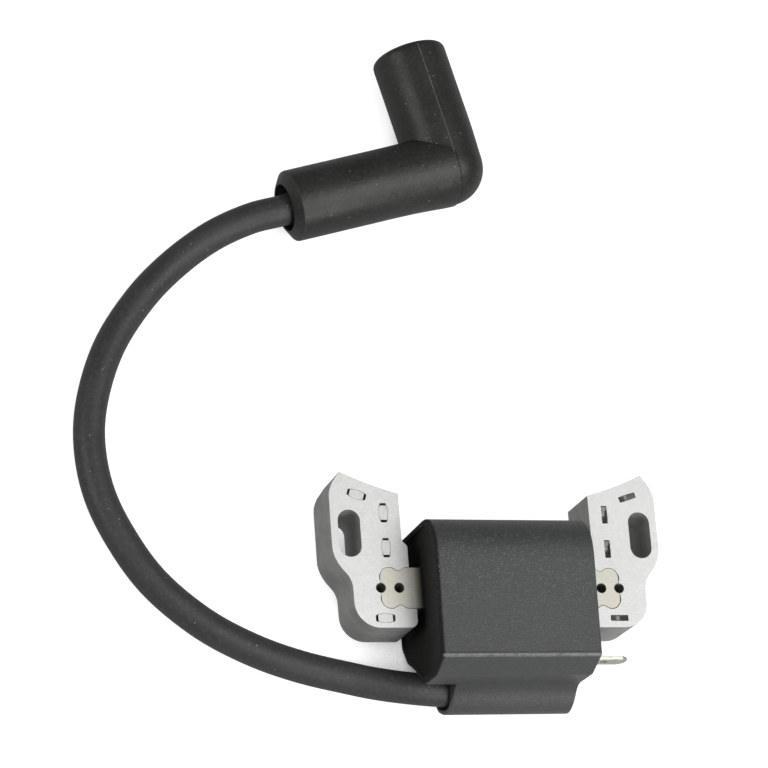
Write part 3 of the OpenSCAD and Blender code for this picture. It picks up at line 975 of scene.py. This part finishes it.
def bar_outline():
    """The bar with a knob at each end."""
    upper = KNOB[:-1] + KNOB_HOLE
    lower = [(x, -y) for x, y in KNOB[:-1]][::-1]
    right = upper + lower
    left = [(-x, y) for x, y in right][::-1]
    return anticlockwise([(0, BAR_HALF)] + right + [(0, -BAR_HALF)] + left)


def pocket():
    """The knob's outline opened by the joint's gap, from the upper side down."""
    upper = KNOB[:-1]
    grown = []
    for i, (x, y) in enumerate(upper):
        a = Vector(upper[max(0, i - 1)])
        b = Vector(upper[min(len(upper) - 1, i + 1)])
        run = (b - a).normalized()
        gap = GAP if y > 2.9 else GAP * GAP_END
        grown.append((x - run.y * gap, y + run.x * gap))
    lower = [(x, -y) for x, y in grown][::-1]
    return grown + POCKET_HOLE + lower


def leg_outline():
    """The right leg: its lobed outer side, the pole face, then the pocket."""
    pole = arc(0, POLE_Y, POLE_R, -64.54, -74.34, 14)
    loop = [(20.9, -8.7), (24, -8.7)] + arc(27.45, -3.1, 5.6, -90, 0, 12)
    loop += [(33.06, -1.2), (33.1, 0.3), (33.28, 1.2), (33.6, 2.06), (34.05, 2.8), (34.65, 3.53)]
    loop += [(35.35, 4.35), (35.97, 5.3), (36.45, 6.3), (36.85, 7.4), (37.05, 8.4), (37.08, 9.6)]
    loop += [(37.08, 20.0), (37.0, 21.0), (36.75, 21.9), (36.2, 23.2)] + pole
    loop += [(21.6, 10.6), (21.45, 10.3), (20.5, 9.35), (20.4, 9.05), (20.4, 4.54)]
    loop += pocket()
    loop += [(19.3, -4.54)] + arc(20.9, -7.1, 1.6, 180, 270, 6)
    return anticlockwise(loop)


def slot_outline():
    """The screw slot, longer along Y."""
    upper = arc(SLOT_X, SLOT_Y + SLOT_HALF, SLOT_R, 0, 180, 16)
    return upper + arc(SLOT_X, SLOT_Y - SLOT_HALF, SLOT_R, 180, 360, 16)


BAR_HOLE = arc(22.87, 0, PIN_R, 0, 345, 23)
print("leg outline points:", len(leg_outline()), "bar outline points:", len(bar_outline()))

# %% [markdown]
# The sheets are locked together by lanced spots: short strips cut and pressed
# through the stack. On the right leg the punch went in from this side and left
# small V-shaped pits, drawn in a darker copy of the steel as painted shade. On
# the left leg it came from behind, so the strips stand flush with dark cuts at
# their ends; the strips' sides are painted near-black, as painted shade in the
# cuts.

# %% Lanced spots
# Where each strip lies on the right leg, and its turn in degrees.
LANCES = [(30.9, 20.6, 18), (25.2, 16.6, 90), (25.15, 8.85, 90), (26.4, -6.6, 0)]


def lens(half_length, end_half, mid_half):
    """A strip's outline, wider in the middle."""
    upper = []
    for k in range(9):
        t = -1 + 2 * k / 8
        upper.append((t * half_length, end_half + (mid_half - end_half) * (1 - t * t)))
    return anticlockwise(upper + [(x, -y) for x, y in upper][::-1])


def set_down(loop, x, y, turn):
    """The outline turned by degrees and moved to a place."""
    a = math.radians(turn)
    return [
        (x + px * math.cos(a) - py * math.sin(a), y + px * math.sin(a) + py * math.cos(a))
        for px, py in loop
    ]


# The share of a strip that stays level, how far below the face it lies, how deep
# it reaches and how wide its foot is for its top.
STRIP_FLAT = 0.17
STRIP_SET = 0.03
STRIP_DEPTH = 2.1
STRIP_FOOT = 0.96


def pressed_strip(name, half_length, end_half, mid_half, dip):
    """A thin strip whose middle is dip lower than its ends."""
    sections = []
    for k in range(13):
        t = -1 + 2 * k / 12
        wide = end_half + (mid_half - end_half) * (1 - t * t)
        ramp = max(0.0, abs(t) - STRIP_FLAT) / (1 - STRIP_FLAT)
        top = -dip * (1 - ramp) - STRIP_SET
        x = t * half_length
        foot = wide * STRIP_FOOT
        sections.append([
            (x, -wide, top), (x, wide, top), (x, foot, -STRIP_DEPTH), (x, -foot, -STRIP_DEPTH),
        ])
    return loft(name, sections)


def scatter_tree():
    """A Geometry Nodes tree that sets a turned strip on each point."""
    ins = [("Places", "Geometry"), ("Strip", "Object"), ("Finish", "Material")]
    tree, entry, leave = geometry_group("pressed_spots", ins, "Spots")
    add, link = tree.nodes.new, tree.links.new
    source, turn = add("GeometryNodeObjectInfo"), add("GeometryNodeInputNamedAttribute")
    link(entry.outputs["Strip"], source.inputs["Object"])
    turn.data_type = "FLOAT"
    turn.inputs["Name"].default_value = "turn"
    spin = add("ShaderNodeCombineXYZ")
    link(turn.outputs["Attribute"], spin.inputs["Z"])
    copies = add("GeometryNodeInstanceOnPoints")
    link(entry.outputs["Places"], copies.inputs["Points"])
    link(source.outputs["Geometry"], copies.inputs["Instance"])
    link(spin.outputs[0], copies.inputs["Rotation"])
    dress_copies(tree, copies, entry, leave)
    return tree


SCATTER_TREE = scatter_tree()
print("strips on each leg:", len(LANCES))


def pressed_spots(name, side, strip):
    """All four strips of one leg as one mesh, on the top sheet's face."""
    mesh = bpy.data.meshes.new(name)
    places = [Vector((side * x, y + CORE_Y, STACK)) * MM for x, y, _ in LANCES]
    mesh.from_pydata(places, [], [])
    turns = mesh.attributes.new("turn", "FLOAT", "POINT")
    turns.data.foreach_set("value", [math.radians(side * t) for _, _, t in LANCES])
    pattern = bpy.data.objects.new("strip_pattern", strip)
    bpy.context.scene.collection.objects.link(pattern)
    # Both strip steels carry painted shade: near-black sides, or a darker copy for the pits.
    steel = FLUSH_STEEL_SHADED_SIDES if side < 0 else PIT_STEEL_PAINTED_SHADE
    made = run_tree(name, mesh, SCATTER_TREE, {"Strip": pattern, "Finish": steel})
    bpy.data.objects.remove(pattern)
    return made


# %% Build the legs
# The upper sheets are pierced for the strips; the others are whole.
PIERCED = 4
SHEET_BEVEL = 0.03
# How far a sheet may sit out of line, in metres.
LEG_SHIFT = 0.00001
BAR_SHIFT = 0.00002


def stacked(name, loops, first, count, shift, seed, steel):
    """A stack of count sheets from sheet number first, as one mesh."""
    sheet = plate(name, loops, first * SHEET, (first + 1) * SHEET, SHEET_BEVEL)
    sheet.transform(Matrix.Translation((0, CORE_Y * MM, 0)))
    values = {"Count": count, "Pitch": SHEET * MM, "Shift": shift, "Seed": seed, "Finish": steel}
    return run_tree(name, sheet, STACK_TREE, values)


def build_leg(side, seed):
    """The left leg for side -1 and the right leg for side 1, each in three pieces."""
    word = "left" if side < 0 else "right"
    whole = SHEETS - PIERCED
    if side < 0:
        spot, strip = lens(2.12, 0.62, 1.03), pressed_strip("strip", 1.6, 0.69, 0.99, 0.0)
    else:
        spot, strip = lens(1.98, 0.6, 0.66), pressed_strip("strip", 1.72, 0.56, 0.62, 1.0)
    flip = mirrored if side < 0 else list
    loops = [flip(leg_outline()), flip(slot_outline())]
    spots = [flip(set_down(spot, x, y, turn)) for x, y, turn in LANCES]
    stack = stacked("stack", loops, 0, whole, LEG_SHIFT, seed, LEG_STEEL)
    leg = finish_object(f"leg_{word}_sheets", stack, "coil", LEG_STEEL)
    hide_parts(f"pole_{word}")
    top = stacked("top", loops + spots, whole, PIERCED, LEG_SHIFT, seed + 1, LEG_STEEL)
    top_piece = finish_object(f"leg_{word}_top_sheets", top, "coil", LEG_STEEL)
    spots_mesh = pressed_spots("spots", side, strip)
    marks = finish_object(f"leg_{word}_pressed_spots", spots_mesh, "coil")
    print(leg.name, "faces:", len(leg.data.polygons))


build_leg(-1, 3)
build_leg(1, 8)

# %% Build the core bar
bar_loops = [bar_outline(), BAR_HOLE, mirrored(BAR_HOLE)]
bar_mesh = stacked("bar", bar_loops, 0, SHEETS, BAR_SHIFT, 21, BAR_STEEL)
core_bar = finish_object("core_bar_sheets", bar_mesh, "coil", BAR_STEEL)
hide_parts("core_bar")
print("core bar faces:", len(core_bar.data.polygons))

# %% [markdown]
# ## The moulded case
# The case is one moulding: a thin-walled box with a big soft corner, a small
# bead along its front ridge, and a tube along its lower back edge for the
# lead. Its long shape has one section, so sections are lofted along X, with
# the last fractions of a millimetre drawn in to round the ends. The tube is
# joined on, then the inside, the bore and the bar's window are cut away.

# %% Case sections
CASE_HALF = 17.7
WALL = 1.4
# How far each end section lies from the end, and how far it is drawn in.
END_ROUND = [(0.0, 0.42), (0.1, 0.17), (0.28, 0.04), (0.5, 0.0)]
# The section's corners as (Y, Z, radius), from the bar's centre line at the front.
CASE_CORNERS = [
    (14.1, -18.3, 1.2), (14.1, 11.25, 8.5), (3.6, 11.25, 3.0),
    (-16.4, 10.376, 0.6), (-16.85, 10.44, 0.5), (-17.27, 10.36, 0.35), (-17.42, 9.95, 0.35),
    (-19.95, 3.6, 1.6), (-19.95, -5.0, 1.2), (-15.9, -9.8, 3.0),
    (-12.9, -15.4, 3.0), (-9.0, -18.3, 1.6),
]


def drawn_in(corners, by, steps=8):
    """The rounded outline of corners moved in by a distance, point for point."""
    sharp = [(x, y) for x, y, _ in corners]
    area = sum(a[0] * b[1] - b[0] * a[1] for a, b in zip(sharp, sharp[1:] + sharp[:1]))
    moved = shrink(sharp, by if area > 0 else -by)
    out = []
    for i, (x, y) in enumerate(moved):
        a, b, c = (Vector(sharp[(i + k) % len(sharp)]) for k in (-1, 0, 1))
        turn = (b - a).cross(c - b) * (1 if area > 0 else -1)
        radius = corners[i][2] - by if turn > 0 else corners[i][2] + by
        out.append((x, y, max(radius, 0.05)))
    return anticlockwise(rounded(out, steps))


# The inside has no bead, so those corners are left out.
PLAIN_CORNERS = [c for c in CASE_CORNERS if not -17.4 < c[0] < -16]
INSIDE = drawn_in(PLAIN_CORNERS, WALL)


def along(x, loop):
    """A (Y, Z) outline from the bar's centre line at the front, placed at x."""
    return [(x, y + CORE_Y, z + STACK) for y, z in loop]


left_end = [along(back - CASE_HALF, drawn_in(CASE_CORNERS, by)) for back, by in END_ROUND]
right_end = [along(CASE_HALF - back, drawn_in(CASE_CORNERS, by)) for back, by in END_ROUND]
shell = loft("shell", left_end + right_end[::-1])
print("case section points:", len(left_end[0]))

# %% Tower and web
# The mouth's place along X, and how much further its lower side reaches.
MOUTH = -10.3
SLANT = 0.9
TUBE_R = 5.2
# The web between the case's wall and the tube, from the top down.
WEB = [
    (-16.5, -3.2), (-19.93, -3.2), (-19.97, -4.0), (-20.12, -4.8), (-20.4, -5.6), (-20.85, -6.45),
    (-21.45, -7.2), (-22.1, -7.85), (-22.75, -8.6), (-23.4, -9.45), (-23.95, -10.4), (-24.35, -11.4),
]


def tower_outline():
    """The tube, the web above it and a part inside the case that joins them."""
    tube = arc(TUBE_Y, TUBE_Z, TUBE_R, 170, 270, 24)
    return anticlockwise(WEB + tube + [(-12.5, -18.3), (-9.5, -15.5), (-16.0, -6.0)])


TOWER = tower_outline()


def slanted(x, loop):
    """A mouth section whose lower side reaches further along the lead."""
    out = []
    for y, z in loop:
        low = min(1.0, max(0.0, (TUBE_Z + 0.6 - z) / 4.2))
        out.append((x - SLANT * low * low * (3 - 2 * low), y + CORE_Y, z + STACK))
    return out


tower = loft("tower", [
    slanted(MOUTH, shrink(TOWER, 0.4)), slanted(MOUTH + 0.12, shrink(TOWER, 0.15)),
    slanted(MOUTH + 0.4, TOWER), along(17.2, TOWER),
    along(17.45, shrink(TOWER, 0.05)), along(17.68, shrink(TOWER, 0.42)),
])
case_mesh = cut_or_join(shell, tower, "UNION")
print("tower section points:", len(TOWER))

# %% Cut the case open
BAR_ROOM = 0.1
inside = loft("inside", [along(-19, INSIDE), along(16.3, INSIDE)])
case_mesh = cut_or_join(case_mesh, inside, "DIFFERENCE")
tube_place = Matrix.Translation((0, TUBE_Y + CORE_Y, TUBE_Z + STACK))
bore_profile = [(-12, 4.5), (-10.8, 4.4), (-9.9, 4.15), (-7.3, 4.1), (-7.25, 3.6), (8, 3.6)]
bore = turned("bore", bore_profile, tube_place, 64)
case_mesh = cut_or_join(case_mesh, bore, "DIFFERENCE")
half, back_z = BAR_HALF + BAR_ROOM, -STACK - BAR_ROOM
opening = [(-half, back_z), (half, back_z), (half, BAR_ROOM), (-half, BAR_ROOM)]
window = loft("window", [along(12, opening), along(20, opening)])
case_mesh = cut_or_join(case_mesh, window, "DIFFERENCE")
case = finish_object("case_moulding", case_mesh, "coil", CASE_PLASTIC, 32)
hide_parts("coil_case")
print("case faces:", len(case.data.polygons))

# %% [markdown]
# ## The cast resin's open face
# The case is filled with black resin through its open end. As it sets it pulls
# down a little and creeps up the walls and the bar, so the face is a shallow
# dish with rough streaks. Rings of points run from the wall to the bar.


# %% Resin face
def by_angle(loop, count, cy, cz):
    """The outline cut by count rays from a centre."""
    out = []
    for k in range(count):
        a = 2 * math.pi * k / count
        ray = Vector((math.cos(a), math.sin(a)))
        best = None
        for p, q in zip(loop, loop[1:] + loop[:1]):
            p2, q2 = Vector((p[0] - cy, p[1] - cz)), Vector((q[0] - cy, q[1] - cz))
            edge = q2 - p2
            cross = ray.x * edge.y - ray.y * edge.x
            if abs(cross) < 1e-9:
                continue
            t = (p2.x * edge.y - p2.y * edge.x) / cross
            s = (p2.x * ray.y - p2.y * ray.x) / cross
            if t > 0 and -1e-6 <= s <= 1 + 1e-6 and (best is None or t > best):
                best = t
        out.append((cy + ray.x * best, cz + ray.y * best))
    return out


RAYS = 160
RINGS = 18
# The face's mean place along X, and the flat back of the thin slab behind it.
FACE_X, BACK_X = -16.98, -16.9
bar_edge = [(-BAR_HALF, -STACK), (BAR_HALF, -STACK), (BAR_HALF, 0), (-BAR_HALF, 0)]
wall_ring = by_angle(INSIDE, RAYS, 0, -STACK / 2)
bar_ring = by_angle(bar_edge, RAYS, 0, -STACK / 2)
face = bmesh.new()
rings = []
for r in range(RINGS + 1):
    t = r / RINGS
    creep = 0.5 * math.exp(-t * 9) + 0.35 * math.exp(-(1 - t) * 12)
    ring = []
    for wall_point, bar_point in zip(wall_ring, bar_ring):
        y = wall_point[0] + (bar_point[0] - wall_point[0]) * t
        z = wall_point[1] + (bar_point[1] - wall_point[1]) * t
        rough = noise.noise(Vector((y * 0.35, z * 0.12, 3.1))) * 0.2
        rough += noise.noise(Vector((y * 1.3, z * 0.4, 7.7))) * 0.12
        x = FACE_X - creep - (rough + 0.1) * min(1.0, 6 * t, 6 * (1 - t))
        ring.append(face.verts.new(Vector((x, y + CORE_Y, z + STACK)) * MM))
    rings.append(ring)
for low, high in zip(rings, rings[1:]):
    for k in range(RAYS):
        face.faces.new((low[k], high[k], high[(k + 1) % RAYS], low[(k + 1) % RAYS]))
back = [[face.verts.new(v.co.copy()) for v in ring] for ring in (rings[0], rings[-1])]
for ring in back:
    for v in ring:
        v.co.x = BACK_X * MM
for k in range(RAYS):
    n = (k + 1) % RAYS
    face.faces.new((rings[0][k], rings[0][n], back[0][n], back[0][k]))
    face.faces.new((rings[-1][n], rings[-1][k], back[1][k], back[1][n]))
    face.faces.new((back[0][k], back[0][n], back[1][n], back[1][k]))
bmesh.ops.recalc_face_normals(face, faces=face.faces)
resin_mesh = bpy.data.meshes.new("resin_face")
face.to_mesh(resin_mesh)
face.free()
resin_face = finish_object("resin_open_face", resin_mesh, "coil", RESIN, 60)
print("resin face depth, mm:", round(min(v.co.x for v in resin_mesh.vertices) / MM, 2))

# %% [markdown]
# ## Stop tab
# A tinned spade blade leaves the right end of the case. The stop switch's wire
# pushes onto it. Stamped blades have a chamfered tip, a small round detent
# hole and slightly rounded edges.

# %% Stop tab blade
BLADE_ROOT, BLADE_TIP = 10, 26.7
BLADE_HALF = 2.375
BLADE_THICK = 0.8
BLADE_DROP = 16
blade_outline = anticlockwise(rounded([
    (BLADE_ROOT, -BLADE_HALF, 0), (25.4, -BLADE_HALF, 0.3), (BLADE_TIP, -1.1, 0.35),
    (BLADE_TIP, 1.1, 0.35), (25.4, BLADE_HALF, 0.3), (BLADE_ROOT, BLADE_HALF, 0),
], 4))
detent = arc(21.7, 0, 0.8, 0, 345, 23)
blade = plate("blade", [blade_outline, detent], -BLADE_THICK / 2, BLADE_THICK / 2, 0.09)
blade.transform(Matrix.Rotation(math.radians(90), 4, "X"))
blade.transform(Matrix.Translation(Vector((0, CORE_Y - BLADE_DROP, STACK)) * MM))


def tinned():
    """Dull tin plate, brighter along its edges."""
    finish = Finish("tinned_blade", (0.72, 0.70, 0.62), 0.34, metallic=1.0)
    dull = finish.clouds(600.0, 0.4, 0.7)
    finish.tint(dull, (0.58, 0.56, 0.5), 0.6)
    finish.roughen(dull, 0.28, 0.45)
    rub = finish.rubbed(0.0002)
    finish.tint(rub, (0.85, 0.83, 0.76), 0.6)
    finish.grain(2600.0, 0.00003, 0.3)
    return finish.material


TINNED = tinned()
stop_blade = finish_object("stop_tab_blade", blade, "coil", TINNED)
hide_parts("stop_tab")
print("stop tab faces:", len(stop_blade.data.polygons))

# %% [markdown]
# ## Plug boot
# The boot is moulded rubber: a sleeve for the lead and a wider one for the
# plug, meeting in a round elbow. Both are turned shapes with soft lips. They
# are joined, and the bores are cut through. The mould's halves left a thin flash
# line along the plug arm, drawn in a paler rubber as a painted highlight. A
# near-black thin line runs where the sleeve meets the plug arm, and round the
# back of the elbow: painted shade along the seam.

# %% Boot arms
PLUG_TURN = math.radians(88.6)
ARM1 = Matrix.Translation(ELBOW) @ Matrix.Rotation(LEAD_TURN, 4, "Z")
ARM2 = ARM1 @ Matrix.Rotation(PLUG_TURN, 4, "Z")
# Profiles as (along, radius), from the elbow: the sleeve swells towards it.
SLEEVE_END = [
    (-38.5, 8.06), (-14, 8.1), (-10, 8.16), (-6, 8.34), (-3, 8.52), (-1.0, 8.58), (-0.5, 8.57),
]
arm1 = turned("arm1", [
    (-40.3, 5.2), (-40.38, 5.45), (-40.3, 5.8), (-39.0, 7.75), (-38.85, 7.97),
] + SLEEVE_END + [(-0.42, 8.5), (-0.4, 7.9), (-0.4, 0.5)], ARM1)
DOME = 8.28
dome = arc(0, 0, DOME, 177, 93, 14)
PLUG_ARM = [(0, 8.3), (2, 8.36), (4, 8.44), (7, 8.54), (10, 8.58), (20, 8.57), (27.4, 8.6)]
PLUG_LIP = [(28.1, 8.54), (28.6, 8.32), (28.95, 7.9), (29.05, 7.3)]
arm2 = turned("arm2", dome + PLUG_ARM + PLUG_LIP, ARM2)
boot_mesh = cut_or_join(arm1, arm2, "UNION")
print("boot arms joined, faces:", len(boot_mesh.polygons))

# %% Boot bores
lead_hole = turned("lead_hole", [
    (-41.5, 5.4), (-40.2, 5.3), (-38.6, 4.9), (-36.2, 4.35), (-34.7, 3.56), (-22.7, 3.56),
    (-22.6, 4.15), (0, 4.15),
], ARM1, 64)
boot_mesh = cut_or_join(boot_mesh, lead_hole, "DIFFERENCE")
plug_hole = turned("plug_hole", [
    (-4, 4.9), (15.7, 4.9), (15.8, 5.2), (27.6, 5.2), (28.3, 5.4), (28.85, 5.9), (30, 6.0),
], ARM2, 64)
boot_mesh = cut_or_join(boot_mesh, plug_hole, "DIFFERENCE")
boot = finish_object("boot_moulding", boot_mesh, "boot", BOOT_RUBBER, 40)
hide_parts("plug_boot")
print("boot faces:", len(boot.data.polygons))

# %% Boot flash line
# The flash line's first place along the plug arm, its offset to one side and its radius.
FLASH_START = 28.0
FLASH_SIDE = 0.45
FLASH_R = 0.16


def radius_at(profile, x):
    """The profile's radius at a place along it."""
    for (a, ra), (b, rb) in zip(profile, profile[1:]):
        if x <= b:
            return ra + (rb - ra) * max(0.0, x - a) / (b - a)
    return profile[-1][1]


ridge = []
for k in range(25):
    x = FLASH_START - FLASH_START * k / 24
    ridge.append(ARM2 @ Vector((x, FLASH_SIDE, radius_at(PLUG_ARM, min(x, 27.4)))))
for k in range(1, 4):
    a = math.radians(90 - 6.6 * k)
    ridge.append(ARM2 @ Vector((-DOME * math.cos(a), FLASH_SIDE, DOME * math.sin(a))))
flash_mesh = round_line("flash", [p * MM for p in ridge], FLASH_R * MM, 12)
# The flash line is drawn in the paler rubber: a painted highlight.
flash = finish_object("boot_flash_line", flash_mesh, "boot", FLASH_RUBBER_PAINTED_HIGHLIGHT, 60)
print("flash line points:", len(ridge))

# %% Boot seam
# The seam's radius, and how far it stands above the elbow.
SEAM_R = 0.13
SEAM_LIFT = 0.04
seam = []
# Where the two arms cross: each step brings x nearer to the plug arm's surface.
for k in range(29):
    a = math.radians(8 + 3 * k)
    x = -4.0
    for _ in range(12):
        r = radius_at(SLEEVE_END, x)
        z = r * math.sin(a)
        reach = radius_at(PLUG_ARM, r * math.cos(a))
        x = min(-0.3, -math.sqrt(max(0.0, reach * reach - z * z)))
    r = min(radius_at(SLEEVE_END, x), reach + 0.1) + 0.02
    seam.append(ARM1 @ Vector((x, r * math.cos(a), r * math.sin(a))))
for k in range(48):
    a = math.radians(88 - 5.4 * k)
    over = DOME + SEAM_LIFT
    seam.append(ARM1 @ Vector((-0.3, -over * math.cos(a), over * math.sin(a))))
seam_mesh = round_line("seam", [p * MM for p in seam], SEAM_R * MM, 12)
# A near-black thin tube along the seam: painted shade where the arms meet.
joint_shade_line = finish_object("boot_joint_ring", seam_mesh, "boot", SEAM_PAINTED_SHADE, 60)
print("seam points:", len(seam))

# %% [markdown]
# ## Inside pieces
# The windings, the board and the contacts keep their CAD shapes. Their
# finishes carry the detail: wire turns as fine ripples, woven glass in the
# board, drawn metal on the contacts.


# %% Inside finishes
def wound(name, color, period):
    """Enamelled wire wound in even turns along X."""
    finish = Finish(name, color, 0.35, metallic=0.85)
    turns = finish.effect("ripple", "X", Period=period)
    finish.tint(turns, shaded(color, 0.45), 0.5)
    patches = finish.clouds(200.0, 0.4, 0.7)
    finish.tint(patches, shaded(color, 1.2), 0.4)
    finish.bump(turns, period * 0.3, 0.8)
    return finish.material


def moulded(name, color, roughness):
    """A plain moulded or dipped surface."""
    finish = Finish(name, color, roughness)
    cloud = finish.clouds(240.0, 0.35, 0.7)
    finish.tint(cloud, shaded(color, 0.8), 0.5)
    rub = finish.rubbed(0.0003)
    finish.tint(rub, tuple(min(1.0, c * 1.3 + 0.02) for c in color), 0.5)
    finish.roughen(cloud, roughness - 0.05, roughness + 0.12)
    finish.grain(1200.0, 0.00004, 0.4)
    return finish.material


def drawn_metal(name, color, roughness):
    """Drawn or stamped metal with faint lines across it."""
    finish = Finish(name, color, roughness, metallic=1.0)
    lines = finish.effect("ripple", "X", Period=0.00035)
    finish.tint(lines, shaded(color, 0.85), 0.4)
    dull = finish.clouds(500.0, 0.4, 0.7)
    finish.tint(dull, shaded(color, 0.75), 0.6)
    finish.roughen(dull, roughness - 0.08, roughness + 0.12)
    rub = finish.rubbed(0.0002)
    finish.tint(rub, shaded(color, 1.15), 0.5)
    finish.grain(3000.0, 0.00002, 0.4)
    return finish.material


def board_weave():
    """Green board with woven glass showing through."""
    finish = Finish("board_glass", (0.05, 0.2, 0.09), 0.35)
    across = finish.effect("ripple", "X", Period=0.0008)
    up = finish.effect("ripple", "Y", Period=0.0008)
    weave = finish.both(across, up)
    finish.tint(weave, (0.08, 0.28, 0.13), 0.6)
    dull = finish.clouds(260.0, 0.4, 0.7)
    finish.roughen(dull, 0.3, 0.5)
    finish.bump(weave, 0.00005, 0.3)
    return finish.material


NYLON = moulded("bobbin_nylon", (0.72, 0.68, 0.58), 0.4)
COPPER = wound("enamelled_copper", (0.66, 0.28, 0.1), 0.00032)
FINE_COPPER = wound("fine_copper", (0.5, 0.2, 0.08), 0.0001)
PLATED = drawn_metal("plated_steel", (0.66, 0.65, 0.6), 0.32)
BRASS = drawn_metal("brass_strip", (0.72, 0.54, 0.22), 0.34)
DRESS = {
    "cast_resin": RESIN,
    "primary_bobbin": NYLON,
    "secondary_bobbin": NYLON,
    "primary_winding": COPPER,
    "secondary_winding": FINE_COPPER,
    "winding_film": moulded("amber_film", (0.75, 0.5, 0.16), 0.22),
    "circuit_board": board_weave(),
    "switching_transistor": moulded("transistor_epoxy", (0.03, 0.03, 0.032), 0.5),
    "board_resistors": moulded("resistor_lacquer", (0.55, 0.42, 0.25), 0.4),
    "board_capacitor": moulded("capacitor_dip", (0.55, 0.22, 0.05), 0.3),
    "primary_leads": COPPER,
    "tension_link": COPPER,
    "earth_strip": BRASS,
    "tab_wire": PLATED,
    "tower_spike": PLATED,
    "plug_terminal": PLATED,
    "terminal_spring": drawn_metal("spring_wire", (0.5, 0.5, 0.5), 0.3),
}
for node_name, material in DRESS.items():
    mesh = nodes[node_name].data
    mesh.materials.clear()
    mesh.materials.append(material)
print("CAD pieces dressed:", len(DRESS))

# %% [markdown]
# ## Last step
# The view layer is brought up to date.

# %% Update the view layer
bpy.context.view_layer.update()
